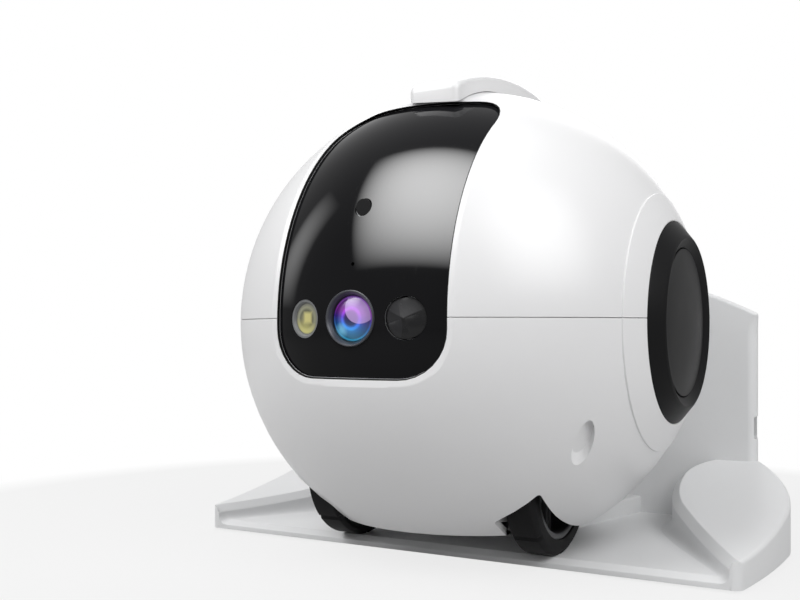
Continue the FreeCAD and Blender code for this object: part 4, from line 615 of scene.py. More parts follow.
def dock_white(name):
    return moulded(name, user_colour("dock"), 0.46, 0.6, 0.012, mottle=0.008, drift=0.03)


def visor_black(name):
    """Piano black panel: deep gloss with hair-fine wiping marks."""
    tone = user_colour("visor")
    paint = Paint(name)
    at = paint.place()
    cloud = paint.noise(at, 18.0)
    hair = paint.noise(paint.mapped(at, Scale=(900, 900, 30)), 1.0, 1.0)
    roughness = paint.between(cloud, 0.05, 0.09) + paint.spread(hair, 0.62, 0.8, 0.0, 0.06)
    base = paint.between(cloud, scaled(tone, 0.8), scaled(tone, 1.2))
    return paint.finish(base_color=base, roughness=roughness, specular_ior_level=0.1)


def seal_black(name):
    return moulded(name, (0.004, 0.004, 0.004), 0.62, 0.4, 0.01, mottle=0.15, shine=0.2)


# Near black for the pieces seen through the pointer's and the microphone's holes, set so that the holes look as
# dark as they do: partly painted shade for the shade inside them.
def hole_black(name):
    return moulded(name, (0.004, 0.004, 0.0045), 0.5, 0.5, 0.01, mottle=0.15, shine=0.2)


def ring_graphite(name):
    return moulded(name, user_colour("ring"), 0.45, 0.5, 0.02, mottle=0.08, shine=0.12)


def cap_graphite(name):
    return moulded(name, user_colour("cap"), 0.42, 0.4, 0.012, mottle=0.08, shine=0.12)


def tyre_rubber(name):
    return moulded(name, user_colour("tyre"), 0.6, 1.2, 0.06, mottle=0.18, drift=0.1, shine=0.15)


def rim_plastic(name):
    return moulded(name, user_colour("rim"), 0.38, 0.6, 0.02, mottle=0.1)


def bezel_black(name):
    """Dark anodised bezel with turning marks round the lens."""
    paint = Paint(name)
    turned = paint.node("ShaderNodeCombineXYZ", None, {0: paint.distance(paint.eye(), "y")})[0]
    marks = paint.noise(turned, 9000.0, 1.0)
    return paint.finish(
        base_color=paint.between(marks, (0.05, 0.052, 0.06), (0.085, 0.088, 0.1)),
        metallic=0.55,
        roughness=paint.between(marks, 0.28, 0.4),
        normal=paint.bump(marks, 0.006),
    )


def lens_glass(name):
    """Coated glass: cyan low on one side, then blue, violet and lilac high on the other, with dark rings, a
    painted reflection as a pale lilac crescent high inside the rim, a painted cyan glint low on the opposite
    side, and a faint painted glow.
    """
    paint = Paint(name)
    at = paint.eye()
    x, _, z = paint.axes(at)
    radius = paint.distance(at, "y") / (LENS_RADIUS * MM)
    tilt = paint.spread(z * 0.9 + x * 0.15, -7.5 * MM, 7.5 * MM, 0.0, 1.0)
    coating = [(0.0, (0.04, 0.45, 0.75)), (0.34, (0.02, 0.16, 0.6)), (0.5, (0.08, 0.03, 0.45))]
    coating += [(0.66, (0.33, 0.04, 0.5)), (1.0, (0.3, 0.12, 0.6))]
    levels = [(0.0, 0.12), (0.28, 0.2), (0.34, 0.6), (0.4, 1.3), (0.46, 1.3), (0.54, 0.65)]
    levels += [(0.66, 0.45), (0.84, 0.3), (0.88, 0.7), (0.91, 0.9), (0.94, 0.2), (1.0, 0.02)]
    rings = paint.ramp(radius, [(place, (level, level, level)) for place, level in levels])
    base = paint.blend(1.0, paint.ramp(tilt, coating), rings, "MULTIPLY")
    # Painted reflection: a pale lilac crescent just inside the rim, high on one side.
    painted_reflection_crescent = paint.spread(paint.distance(paint.eye(3.6, 5.6), "y"), 6.2 * MM, 6.4 * MM, 0.5, 0.0)
    painted_reflection_crescent = painted_reflection_crescent * paint.spread(radius, 0.86, 0.9, 1.0, 0.0)
    base = paint.blend(painted_reflection_crescent, base, (0.62, 0.42, 0.85))
    # Painted glint: a soft cyan spot low on the opposite side.
    glint = paint.spread(paint.distance(paint.eye(-4.6, -3.2), "y"), 0.6 * MM, 3.2 * MM, 0.6, 0.0)
    base = paint.blend(glint, base, (0.2, 0.6, 0.85))
    return paint.finish(
        base_color=base,
        roughness=paint.between(paint.noise(at, 900.0), 0.06, 0.12),
        # The lens emits its own colour faintly: painted glow.
        emission_color=base,
        emission_strength=0.3,
        coat_weight=0.4,
        coat_roughness=0.02,
    )


def lamp_lens(name):
    """Pale yellow lamp chip behind a clear window, in a dull reflector with a narrow bright rim; the
    reflector's olive rings are painted with the chip's light reflected in them, a pale yellow pool of that
    light is painted low in the window, and the whole window has a faint painted glow.
    """
    paint = Paint(name)
    at = paint.eye(turn=-EYE_TURN)
    x, _, z = paint.axes(at)
    radius = paint.distance(at, "y") / (LAMP_RADIUS * MM)
    chip = paint.spread(abs(x - 0.8 * MM).most(abs(z - 0.4 * MM)), 1.3 * MM, 2.6 * MM, 0.85, 0.0)
    # The reflector's rings: olive tones, lightest at the middle, that stand for the chip's light reflected in
    # them (painted reflection), then a dark band, a narrow pale rim and a dark edge.
    glow = [(0.0, (0.3, 0.28, 0.13)), (0.3, (0.2, 0.19, 0.1)), (0.45, (0.1, 0.1, 0.06))]
    glow += [(0.6, (0.26, 0.26, 0.17)), (0.76, (0.2, 0.2, 0.16)), (0.84, (0.05, 0.055, 0.05))]
    glow += [(0.92, (0.16, 0.18, 0.18)), (0.97, (0.02, 0.02, 0.02))]
    base = paint.blend(chip, paint.ramp(radius, glow), (0.58, 0.53, 0.2))
    # Painted light: a pale yellow pool low in the reflector, kept inside its rim.
    low = paint.spread(z + x * 0.2, -5.4 * MM, -0.5 * MM, 0.95, 0.0)
    low = low * paint.spread(radius, 0.7, 0.8, 1.0, 0.0)
    base = paint.blend(low, base, (0.6, 0.56, 0.17))
    return paint.finish(
        base_color=base,
        roughness=paint.between(paint.noise(at, 700.0), 0.08, 0.16),
        # A faint glow over the whole window, reflector included: painted glow.
        emission_color=base,
        emission_strength=0.12,
        coat_weight=0.3,
        coat_roughness=0.03,
    )


def sensor_black(name):
    """Dark infrared window with four flat facets that meet in its middle; the upper facets are painted paler,
    most near the middle, as a painted reflection of light from above, and one side is painted a little lighter,
    a painted sheen.
    """
    paint = Paint(name)
    at = paint.eye(turn=EYE_TURN)
    x, _, z = paint.axes(at)
    facets = (abs(x + z * 0.3) + abs(z - x * 0.3)) / (8 * MM)
    cloud = paint.noise(at, 500.0)
    base = paint.between(cloud, (0.004, 0.004, 0.0045), (0.006, 0.006, 0.007))
    # Painted reflection: the upper facets lighter, most near the middle, as if they mirrored light from above.
    upper = paint.spread(z - abs(x + 0.5 * MM) * 0.45, -0.2 * MM, 0.3 * MM, 0.0, 1.0)
    middle = paint.spread(paint.distance(at, "y"), 0.5 * MM, SENSOR_RADIUS * MM, 0.999, 0.18)
    base = paint.blend(upper * middle, base, (0.085, 0.085, 0.088))
    # Painted sheen: one side of the window a little lighter.
    side = paint.spread(x + abs(z + 2.5 * MM) * 0.25, -0.9 * MM, -0.6 * MM, 0.5, 0.0)
    base = paint.blend(side, base, (0.022, 0.022, 0.025))
    return paint.finish(
        base_color=base,
        roughness=paint.between(cloud, 0.2, 0.28),
        specular_ior_level=0.35,
        normal=paint.bump(facets, 2.2),
    )


def edge_clear(name):
    """Polished edge of the visor, painted mid grey so that it shows as a thin bright line along its outline: a
    painted highlight.
    """
    paint = Paint(name)
    cloud = paint.noise(paint.place(), 60.0)
    # Painted highlight: a mid grey base that stands for light caught along the edge.
    base = paint.between(cloud, (0.3, 0.3, 0.31), (0.42, 0.42, 0.43))
    return paint.finish(base_color=base, roughness=paint.between(cloud, 0.12, 0.2))


def steel(name):
    """Turned steel with fine marks along it."""
    paint = Paint(name)
    marks = paint.noise(paint.mapped(paint.place(), Scale=(300, 4000, 4000)), 1.0)
    return paint.finish(
        base_color=paint.between(marks, (0.5, 0.51, 0.53), (0.66, 0.67, 0.69)),
        metallic=1.0,
        roughness=paint.between(marks, 0.24, 0.4),
        normal=paint.bump(marks, 0.004),
    )


def contact_gold(name):
    """Gold-plated contact with light scuffs."""
    paint = Paint(name)
    scuff = paint.noise(paint.place(), 1500.0, 3.0)
    return paint.finish(
        base_color=paint.ramp(scuff, [(0.35, (0.78, 0.55, 0.2)), (0.7, (0.9, 0.68, 0.3))]),
        metallic=1.0,
        roughness=paint.between(scuff, 0.18, 0.38),
    )


def board_green(name):
    """Circuit board: green resist with copper tracks and pale pads."""
    paint = Paint(name)
    at = paint.place()
    black, white = (0, 0, 0, 1), (1, 1, 1, 1)
    brick = {"Vector": at, "Scale": 260.0, "Mortar Size": 0.03}
    brick |= {"Color1": black, "Color2": black, "Mortar": white}
    tracks = paint.node("ShaderNodeTexBrick", None, brick)[0]
    cloud = paint.noise(at, 120.0)
    green = paint.ramp(cloud, [(0.35, (0.01, 0.09, 0.03)), (0.65, (0.015, 0.14, 0.05))])
    base = paint.blend(tracks, green, (0.04, 0.24, 0.09))
    return paint.finish(base_color=base, roughness=paint.between(cloud, 0.3, 0.42))


def inner_plastic(name):
    return moulded(name, (0.2, 0.205, 0.21), 0.5, 0.8, 0.03, mottle=0.05)


def hopper_clear(name):
    return moulded(name, (0.55, 0.57, 0.58), 0.3, 0.9, 0.01, mottle=0.04, coat=0.3)


def cell_blue(name):
    return moulded(name, (0.02, 0.12, 0.4), 0.3, 1.5, 0.03, mottle=0.12, coat=0.3)


def plate_grey(name):
    return moulded(name, (0.28, 0.285, 0.29), 0.5, 0.7, 0.02, mottle=0.05)


def foot_rubber(name):
    return moulded(name, (0.05, 0.05, 0.052), 0.7, 0.8, 0.04, mottle=0.15)


def inlet_black(name):
    return moulded(name, (0.015, 0.015, 0.016), 0.4, 0.5, 0.01, mottle=0.15)


FINISHES = {
    function.__name__: function
    for function in (
        shell_white, dock_white, visor_black, seal_black, hole_black, ring_graphite, cap_graphite,
        tyre_rubber, rim_plastic, bezel_black, lens_glass, lamp_lens, sensor_black, edge_clear, steel,
        contact_gold, board_green, inner_plastic, hopper_clear, cell_blue, plate_grey, foot_rubber,
        inlet_black,
    )
}


# ------------------------------------------------------------------------------
# Robot: shells


def visor_path(sizes, part="whole"):
    """The visor's outline from the front as (x, z), counter-clockwise, or its part over or under the seam."""
    side, low, top, seam = sizes.visor_side, -sizes.visor_low, sizes.visor_top, sizes.seam
    low_turn, top_turn, arc_points, step = 18 * MM, 12 * MM, 9, 3 * MM
    if part == "whole":
        corners = [(side, low), (side, top), (-side, top), (-side, low)]
        turns = [low_turn, top_turn, top_turn, low_turn]
        return refined(rounded(corners, turns, arc_points), step, closed=True)
    sign, level, turn = (1, top, top_turn) if part == "over" else (-1, low, low_turn)
    start, stop, beyond = sign * side, -sign * side, -sign * 60 * MM
    line = [(start, beyond), (start, level), (stop, level), (stop, beyond)]
    line = rounded(line, [0, turn, turn, 0], arc_points, closed=False)
    line[[0, -1], 1] = seam
    line = refined(line, step)
    near = seam + sign * mm([0.05, 0.12, 0.25, 0.5, 1.0, 1.8])
    first = np.stack([np.full(len(near), line[0, 0]), near], axis=1)
    last = np.stack([np.full(len(near), line[-1, 0]), near[::-1]], axis=1)
    return np.concatenate([line[:1], first, line[1:-1], last, line[-1:]])


def on_ball(plan, radius):
    """Points (x, z) set on the front of a sphere: y = -sqrt(radius^2 - x^2 - z^2)."""
    return np.stack([plan[..., 0], -np.sqrt(radius**2 - (plan**2).sum(-1)), plan[..., 1]], axis=-1)


def seam_groove(points, sizes):
    """Draws points close to the seam towards the ball's centre, as a quarter round of the edge radius e.

    At the height h over or under the seam the depth is e - sqrt(e^2 - (e - h)^2) for h under e, and the edge
    is held back by half the gap.
    """
    e = sizes.seam_edge
    height = np.minimum(np.abs(points[..., 2] - sizes.seam), e)
    depth = e - np.sqrt(np.maximum(e**2 - (e - height) ** 2, 0))
    reach = np.linalg.norm(points, axis=-1)
    drawn = points * (1 - depth / np.maximum(reach, 1e-6))[..., None]
    away = sizes.seam_gap / 2 * (1 - height / e)
    drawn[..., 2] += np.where(points[..., 2].max() > 2 * sizes.seam, away, -away)
    return drawn


def shell_half(sizes, part):
    """One shell's wall: half-planes through the seam's middle line, from the visor's opening to the rear.

    In the half-plane that passes through an outline point, the ball is a circle of radius c about a point at
    m from the middle line: the surface is s = m + c sin a, y = -c cos a, with a from the opening to the
    middle line behind. The opening's rim is parallel to Y.
    """
    path = visor_path(sizes, part)
    normal = outwards(path, closed=False)
    slope = np.linspace(0, 1, 4)[1:]
    grow = np.concatenate([sizes.seal + sizes.bevel * slope[::-1], [sizes.seal]])
    fall = sizes.bevel_fall * np.concatenate([1 - slope[::-1], [1]])
    plans = path[None] + normal[None] * grow[:, None, None]
    edge = np.stack([on_ball(plan, sizes.ball - d) for plan, d in zip(plans, fall)])
    start = plans[0] - np.array([0, sizes.seam])
    reach = np.linalg.norm(start, axis=1)
    across, up = start[:, 0] / reach, start[:, 1] / reach
    middle = -sizes.seam * up
    circle = np.sqrt(sizes.ball**2 - (sizes.seam * across) ** 2)
    first = np.arcsin(np.clip((reach - middle) / circle, -1, 1))
    last = math.pi - np.arcsin(np.clip(-middle / circle, -1, 1))
    turn = last + (first - last) * np.linspace(0, 1, 72)[:, None]
    s = np.maximum(middle + circle * np.sin(turn), 0)
    back = np.stack([s * across, -circle * np.cos(turn), sizes.seam + s * up], axis=-1)
    outer = np.concatenate([back, edge[1:]])
    behind = back * (1 - sizes.wall / sizes.ball)
    share = np.linspace(0, 1, len(plans))[1:, None, None]
    lip = on_ball(plans[-1], sizes.ball - sizes.wall)
    inner = np.concatenate([behind, behind[-1] + (lip - behind[-1]) * share])
    outer = seam_groove(outer, sizes)
    rows, columns = outer.shape[:2]
    points, faces = grid(np.concatenate([outer, inner[::-1]]))
    k = np.arange(rows - 1)
    mirror = 2 * rows - 1 - k
    for column in (0, columns - 1):
        strip = np.stack([k, k + 1, mirror - 1, mirror], axis=1) * columns + column
        faces += strip.tolist()
    return points, faces


def cheek_half(sizes, side, part):
    """Half of the raised ring seat on one side: a closed profile (x, r) turned about X up to the seam.

    A profile point of radius r starts at the angle asin(seam / r), so that both ends lie in the seam's plane.
    """
    out = sizes.ball + sizes.cheek_rise
    recess, seat, inside, wall = 40.25 * MM, 88 * MM, 46 * MM, sizes.wall
    arc = np.linspace(sizes.cheek, recess, 9)
    face = np.stack([np.sqrt(out**2 - arc**2), arc], axis=1)
    foot = math.sqrt((sizes.ball - 0.9 * MM) ** 2 - sizes.cheek**2)
    corners = [(foot, sizes.cheek), *face, (seat, recess), (seat, 0), (seat - wall, 0)]
    corners += [(seat - wall, inside), (foot - wall, inside)]
    radii = mm([0, 0.4, 0, 0, 0, 0, 0, 0, 0, 0.5, 0, 0, 0, 0, 0])
    profile = rounded(corners, radii, 4)
    distance, radius = profile[:, :1], np.maximum(profile[:, 1:], sizes.seam * 1.001)
    begin = np.arcsin(sizes.seam / radius)
    ends = np.array([0, 0.0004, 0.0012, 0.0026, 0.005, 0.01])
    share = np.concatenate([ends, np.linspace(0.02, 0.98, 60), 1 - ends[::-1]])[None]
    if part == "over":
        angle = begin + share * (math.pi - 2 * begin)
    else:
        angle = math.pi - begin + share * (math.pi + 2 * begin)
    x = side * np.broadcast_to(distance, angle.shape)
    points = np.stack([x, radius * np.cos(angle), radius * np.sin(angle)], axis=-1)
    return grid(seam_groove(points, sizes), over=True, capped=True)


def well_lining(outline, roof, wall, sizes):
    """Walls that stand round an opening in the underside, with a roof.

    The walls go down from the roof to the ball's inside, z = -sqrt(radius^2 - x^2 - y^2), or to the flat
    underside.
    """
    normal = outwards(outline)
    outer, inner = outline + normal * wall, outline + normal * 0.05 * MM
    radius, floor = sizes.ball - 0.4 * MM, -sizes.flat + 0.3 * MM

    def ring(plan, level):
        return along("z", plan[:, 0], plan[:, 1], np.full(len(plan), level))

    def ground(plan):
        return np.maximum(-np.sqrt(np.maximum(radius**2 - (plan**2).sum(1), 0)), floor)

    walls = [ring(outer, roof + wall), ring(outer, ground(outer))]
    walls += [ring(inner, ground(inner)), ring(inner, roof)]
    return grid(np.stack(walls), around=True, capped=True)


class PETCAMERA_OT_shells(bpy.types.Operator):
    """Build the upper and lower shells"""

    bl_idname = "petcamera.shells"
    bl_label = "Shells"

    def execute(self, context):
        sizes = context.scene.pet_camera_robot
        holes = [disc_prism("x", 45 * MM, side * OUTSIDE, side * 80 * MM) for side in (1, -1)]
        lid_opening = box_prism(mm([-3, -37.9, 50]), mm([15.8, 52, 150]), 1 * MM)
        looks = {"sharp": 18, "spheres": [sizes.ball, sizes.ball + sizes.cheek_rise]}
        for name, part, wall in (
            ("upper", "over", carved(shell_half(sizes, "over"), *holes, lid_opening)),
            ("lower", "under", self.underside(sizes, holes)),
        ):
            shape = together(wall, *[cheek_half(sizes, side, part) for side in (1, -1)])
            make_piece(name + "_skin", shape, "shell_white", "robot", name + "_shell", **looks)
        return {"FINISHED"}

    def underside(self, sizes, holes):
        """The lower wall with its flat underside, openings and the linings that stand in them.

        The openings are two wheel wells, the castor's cup and four screw wells, each with its roof's height
        and its lining's thickness. The flat underside has the first three openings, the holes of the charging
        contacts and the button's hole.
        """
        flat, corners = sizes.flat, [(1, 1), (1, -1), (-1, 1), (-1, -1)]
        openings = []
        for side in (1, -1):
            left, right = sorted((side * 36.6, side * 55.3))
            wheel_well = box_outline(mm([left, -53.7]), mm([right, 14.5]), 1.5 * MM)
            openings.append((wheel_well, -25.7 * MM, 2 * MM))
        openings.append((circle_outline(17 * MM, mm([0, 30]), 72), -67 * MM, 2.4 * MM))
        openings += [(circle_outline(4.2 * MM, mm([a * 71.8, b * 53])), -12 * MM, 2 * MM) for a, b in corners]
        cuts = [slab(outline, "z", DEEP, roof, steps=2) for outline, roof, _ in openings]
        below = box_prism((-OUTSIDE, -OUTSIDE, -OUTSIDE), (OUTSIDE, OUTSIDE, -flat))
        wall = carved(shell_half(sizes, "under"), below, *holes, *cuts)
        rim = math.sqrt(sizes.ball**2 - flat**2)
        base = disc_prism("z", rim, -flat, -flat + sizes.wall, segments=144)
        contacts = [disc_prism("z", 4.5 * MM, DEEP, 0, mm([a * CONTACT_SIDE, CONTACT_BACK])) for a in (1, -1)]
        button = disc_prism("z", 4.4 * MM, DEEP, 0, mm([0, -38]), 48)
        base = carved(base, *cuts[:3], *contacts, button)
        return together(wall, base, *[well_lining(*opening, sizes) for opening in openings])


class PETCAMERA_OT_side_trim(bpy.types.Operator):
    """Build the ring and cap on each side"""

    bl_idname = "petcamera.side_trim"
    bl_label = "Side rings and caps"

    def execute(self, context):
        ring = [(88, 26), (88, 40.2), (91.8, 40.2), (96.5, 34.4), (97, 33.5), (96.6, 32.8), (94.8, 29.6)]
        ring += [(92, 29.6), (92, 26)]
        ring = rounded(mm(ring), mm([0.3, 0.4, 1.2, 0.5, 0.4, 0.4, 0.5, 0.2, 0.3]), 5)
        dome = crown(28.7 * MM, 2.2 * MM, 95.25 * MM, 16)
        edge = mm([(95.25, 28.7), (95.2, 29.3), (92, 29.3), (92, 0)])
        cap = np.concatenate([dome, rounded(edge, mm([0, 0.3, 0.2, 0]), 4, closed=False)])
        for label, side in SIDES.items():
            for part, profile in (("ring", ring), ("cap", cap)):
                shape = lathe(profile * np.array([side, 1]), "x", segments=144)
                make_piece(f"{part}_{label}", shape, part + "_graphite", "robot", f"side_{part}_{label}")
        return {"FINISHED"}


# ------------------------------------------------------------------------------
# Robot: front


def visor_panel(sizes):
    """The visor: rings that shrink from its outline to a middle point, on a sphere, with a round edge."""
    path = visor_path(sizes)
    normal = outwards(path)
    edge = 0.35 * MM
    front = sizes.ball - sizes.visor_set
    inset, depth = quarter(5)
    plans = [path - normal * (edge * i) for i in inset]
    outer = [on_ball(plan, front - edge * d) for plan, d in zip(plans, depth)]
    middle = np.array([0, 33 * MM])
    rim = plans[-1]
    shares = np.linspace(1, 0, 28)[1:]
    outer += [on_ball(middle + (rim - middle) * share, front) for share in shares]
    rear = front - sizes.visor_wall
    inner = [on_ball(middle + (path - middle) * share, rear) for share in np.linspace(0, 1, 12)]
    return grid(np.stack(outer + inner), around=True, over=True)


def eye_hole(radius, turn):
    """A cylinder at eye level that points out of the front, turned about the upright."""
    points, faces = disc_prism("y", radius * MM, -OUTSIDE, -50 * MM, segments=96)
    return turned_z(points, turn) + mm([0, 0, EYE_LEVEL]), faces


class PETCAMERA_OT_front(bpy.types.Operator):
    """Build the visor, its seal and the instruments in it"""

    bl_idname = "petcamera.front"
    bl_label = "Visor and instruments"

    def execute(self, context):
        sizes = context.scene.pet_camera_robot
        holes = [eye_hole(10.3, 0), eye_hole(7.25, -EYE_TURN), eye_hole(7.85, EYE_TURN)]
        for radius, height, segments in ((3.5, 42.2, 48), (0.7, 20.9, 24)):
            holes.append(disc_prism("y", radius * MM, -OUTSIDE, -50 * MM, mm([0, height]), segments))
        panel = carved(visor_panel(sizes), *holes)
        front = [sizes.ball - sizes.visor_set]
        make_piece("visor_panel", panel, "visor_black", "robot", "visor", spheres=front)
        seal = [(0.02, 0.8), (0.38, 0.8), (0.38, 2.8), (0.02, 2.8)]
        make_piece("seal_strip", self.strip(sizes, seal, 0.2), "seal_black", "robot", "visor_seal")
        edge = [(-0.28, 1.93), (0.01, 1.95), (0.01, 2.3), (-0.28, 2.3)]
        make_piece("visor_edge", self.strip(sizes, edge, 0.1), "edge_clear", "robot", slot="visor_black")
        self.instruments()
        return {"FINISHED"}

    def strip(self, sizes, section, turn):
        """A strip along the visor's outline: a section of (distance outside, depth under the ball) in mm."""
        path = visor_path(sizes)
        normal = outwards(path)
        section = rounded(mm(section), turn * MM, 4)
        rows = [on_ball(path + normal * grow, sizes.ball - depth) for grow, depth in section]
        return grid(np.stack(rows), around=True, over=True)

    def instruments(self):
        """Bezel, lens, lamp window and sensor: profiles of (distance ahead, radius) in mm at eye level."""
        bezel = [(96.6, 8.72), (97.7, 9.3), (98.1, 9.55), (98.3, 9.75), (98.3, 10.1), (97.9, 10.26)]
        bezel = rounded([*bezel, (94, 10.26), (94, 8.72)], [0.1, 0.2, 0.1, 0.1, 0.15, 0.2, 0, 0], 4)
        lens = [*crown(LENS_RADIUS, 1.9, 95.4, 20), (94.2, LENS_RADIUS), (94.2, 0)]
        rim = [(96.6, 6.6), (97.2, 7.0), (97.2, LAMP_RADIUS), (95.4, LAMP_RADIUS), (95.4, 0)]
        lamp = [*crown(6.3, 0.5, 96.3, 14), *rim]
        sensor = [*crown(SENSOR_RADIUS, 2.2, 96.6, 20), (95.4, SENSOR_RADIUS), (95.4, 0)]
        for name, profile, turn, finish, node in (
            ("bezel_ring", bezel, 0, "bezel_black", "lens_bezel"),
            ("lens_front", lens, 0, "lens_glass", "camera_lens"),
            ("lamp_front", lamp, -EYE_TURN, "lamp_lens", "lamp_window"),
            ("sensor_front", sensor, EYE_TURN, "sensor_black", "sensor_dome"),
        ):
            points, faces = lathe(mm(profile) * np.array([-1, 1]), "y", segments=96)
            make_piece(name, (turned_z(points, turn) + mm([0, 0, EYE_LEVEL]), faces), finish, "robot", node)


# ------------------------------------------------------------------------------
# Robot: lid and wheels


def lid_arch(y, radius):
    """The lid's arched top in its side view, in millimetres: z = zc + sqrt(radius^2 - (y - yc)^2)."""
    return -69.7 + np.sqrt(radius**2 - (y - 16.6) ** 2)


def lid_side():
    """The lid's side view (y, z) from the front over the top to the knuckle round its hinge.

    The tail bows out from its chord by 4 h s (1 - s), where h is the height of an arc over that chord.
    """
    front, rear, arch, tail_arc = -46.5, 45.0, 176.9, 40
    hinge, knuckle = np.array([72, 76.0]), 4.4
    nose = [(front, 86), (front, lid_arch(front, arch)), (-38, lid_arch(-38.0, arch))]
    nose = rounded(nose, [0, 4, 0], 8, closed=False)[:-1]
    y = np.linspace(front, rear, 40)[1:]
    y = y[y > front + 5]
    top = np.stack([y, lid_arch(y, arch)], axis=1)
    share = np.linspace(0, 1, 14)[1:, None]
    start = np.array([rear, lid_arch(rear, arch)])
    chord = hinge + [knuckle, 0] - start
    height = tail_arc - math.sqrt(tail_arc**2 - (chord**2).sum() / 4)
    bow = np.array([-chord[1], chord[0]]) / np.linalg.norm(chord)
    tail = start + chord * share + bow * (4 * height * share * (1 - share))
    turn = np.linspace(0, -math.radians(133), 10)[1:]
    end = hinge + knuckle * np.stack([np.cos(turn), np.sin(turn)], axis=1)
    return np.concatenate([nose, top, tail, end]) * MM


def lid_shape(sizes):
    """The lid: its side view carried across, its edges rounded, its foot on the ball.

    Across the lid the side view moves in by the edge's quarter round, and its foot follows
    z = sqrt(seat^2 - x^2 - y^2).
    """
    line = lid_side()
    normal = -outwards(line, closed=False)
    edge = np.interp(line[:, 0], mm([-46.5, -44, -36, 60, 70]), mm([3.4, 2.6, 1.8, 1.8, 0.4]))
    left, right, steps, foot_points = -5 * MM, 17.8 * MM, 6, 40
    seat = sizes.ball + 0.3 * MM
    rows = []
    for x_end, inwards, insets, depths in both_ends(left, right, steps):
        for inset, depth in zip(insets, depths):
            x = x_end + inwards * edge * depth
            side = line - normal * (edge * inset)[:, None]
            z = np.maximum(side[:, 1], np.sqrt(seat**2 - x**2 - np.minimum(side[:, 0], 69 * MM) ** 2))
            foot_x, foot_y = [np.linspace(v[-1], v[0], foot_points)[1:-1] for v in (x, side[:, 0])]
            foot = np.stack([foot_x, foot_y, np.sqrt(seat**2 - foot_x**2 - foot_y**2)], axis=1)
            rows.append(np.concatenate([np.stack([x, side[:, 0], z], axis=1), foot]))
    middle = (rows[steps - 1] + rows[steps]) / 2
    foot = middle[len(line):]
    foot[:, 2] = np.sqrt(seat**2 - foot[:, 0] ** 2 - foot[:, 1] ** 2)
    return grid(np.stack([*rows[:steps], middle, *rows[steps:]]), around=True, capped=True)


class PETCAMERA_OT_lid(bpy.types.Operator):
    """Build the treat lid"""

    bl_idname = "petcamera.lid"
    bl_label = "Treat lid"

    def execute(self, context):
        y = np.linspace(-44.5, 45, 24)
        line = [*np.stack([y, lid_arch(y, 174.9)], axis=1), (63, 80), (58.8, 50), (-44.5, 50)]
        room = slab(mm(line)[::-1], "x", -3 * MM, 15.8 * MM, steps=2)
        shape = carved(lid_shape(context.scene.pet_camera_robot), room)
        make_piece("lid_cover", shape, "shell_white", "lid", "treat_lid", "lid_white", sharp=40)
        return {"FINISHED"}


class PETCAMERA_OT_wheels(bpy.types.Operator):
    """Build the tyres and rims of both wheels"""

    bl_idname = "petcamera.wheels"
    bl_label = "Wheels"

    def execute(self, context):
        centre = mm([0, -20, -60.6])
        tyre = mm([(39, 26.1), (39, 31), (40.5, 32.5), (50.2, 32.5), (51.7, 30.3), (51.7, 26.1)])
        tyre = refined(rounded(tyre, mm([0.3, 1, 1, 1, 1.2, 0.3]), 5), 1.2 * MM, closed=True)
        for label, side in SIDES.items():
            body = label + "_wheel"
            shape = lathe(tyre * np.array([side, 1]), "x", centre, 384, self.tread)
            make_piece("tread_" + label, shape, "tyre_rubber", body, "tyre_" + label, "tyre_grey", sharp=50)
            shape = self.rim(side, centre)
            make_piece("wheel_rim_" + label, shape, "rim_plastic", body, "rim_" + label, "rim_grey")
        return {"FINISHED"}

    def tread(self, distance, radius, angle):
        """Eight cross grooves: the radius falls by 1 mm in narrow slots, only over the tread."""
        first, slots, depth = math.radians(-45.5), 8, 1.0 * MM
        lane = np.clip((radius - 30.6 * MM) / (1.2 * MM), 0, 1)
        slot = np.clip((np.cos((angle - first) * slots) - 0.965) / 0.02, 0, 1)
        return radius - depth * lane * slot

    def rim(self, side, centre):
        """A band, a hub and six straight spokes between them."""
        flip = np.array([side, 1]) * MM
        band = rounded([(39.4, 23.5), (39.4, 26.1), (51.1, 26.1), (51.1, 23.5)], [0.3, 0.3, 0.5, 0.8], 4)
        hub = rounded([(39.4, 0), (39.4, 6.5), (48.7, 6.5), (48.7, 0)], [0, 0.3, 0.8, 0], 4)
        parts = [lathe(band * flip, "x", centre, 144), lathe(hub * flip, "x", centre, 96)]
        bar = rounded([(6, -2.35), (24, -2.35), (24, 2.35), (6, 2.35)], 0.2, 3)
        low, high = sorted((side * 43.23 * MM, side * 45.73 * MM))
        for n in range(6):
            turn = math.radians(60 * n + 30)
            c, s = math.cos(turn), math.sin(turn)
            outline = (bar @ np.array([[c, s], [-s, c]])) * MM
            points, faces = slab(outline, "x", low, high, 0.3 * MM, 0.5 * MM)
            parts.append((points + centre, faces))
        return together(*parts)


# ------------------------------------------------------------------------------
# Dock


def tangent_arc(start, end, steps=24):
    """An arc that leaves one plan point along Y and ends at another: x = x0 + (r - sqrt(r^2 - (y - y0)^2)).

    The radius that meets both is r = (dx^2 + dy^2) / (2 dx).
    """
    across, on = end[0] - start[0], end[1] - start[1]
    radius = (across**2 + on**2) / (2 * abs(across))
    y = np.linspace(start[1], end[1], steps)
    x = start[0] + np.sign(across) * (radius - np.sqrt(radius**2 - (y - start[1]) ** 2))
    return np.stack([x, y], axis=1)


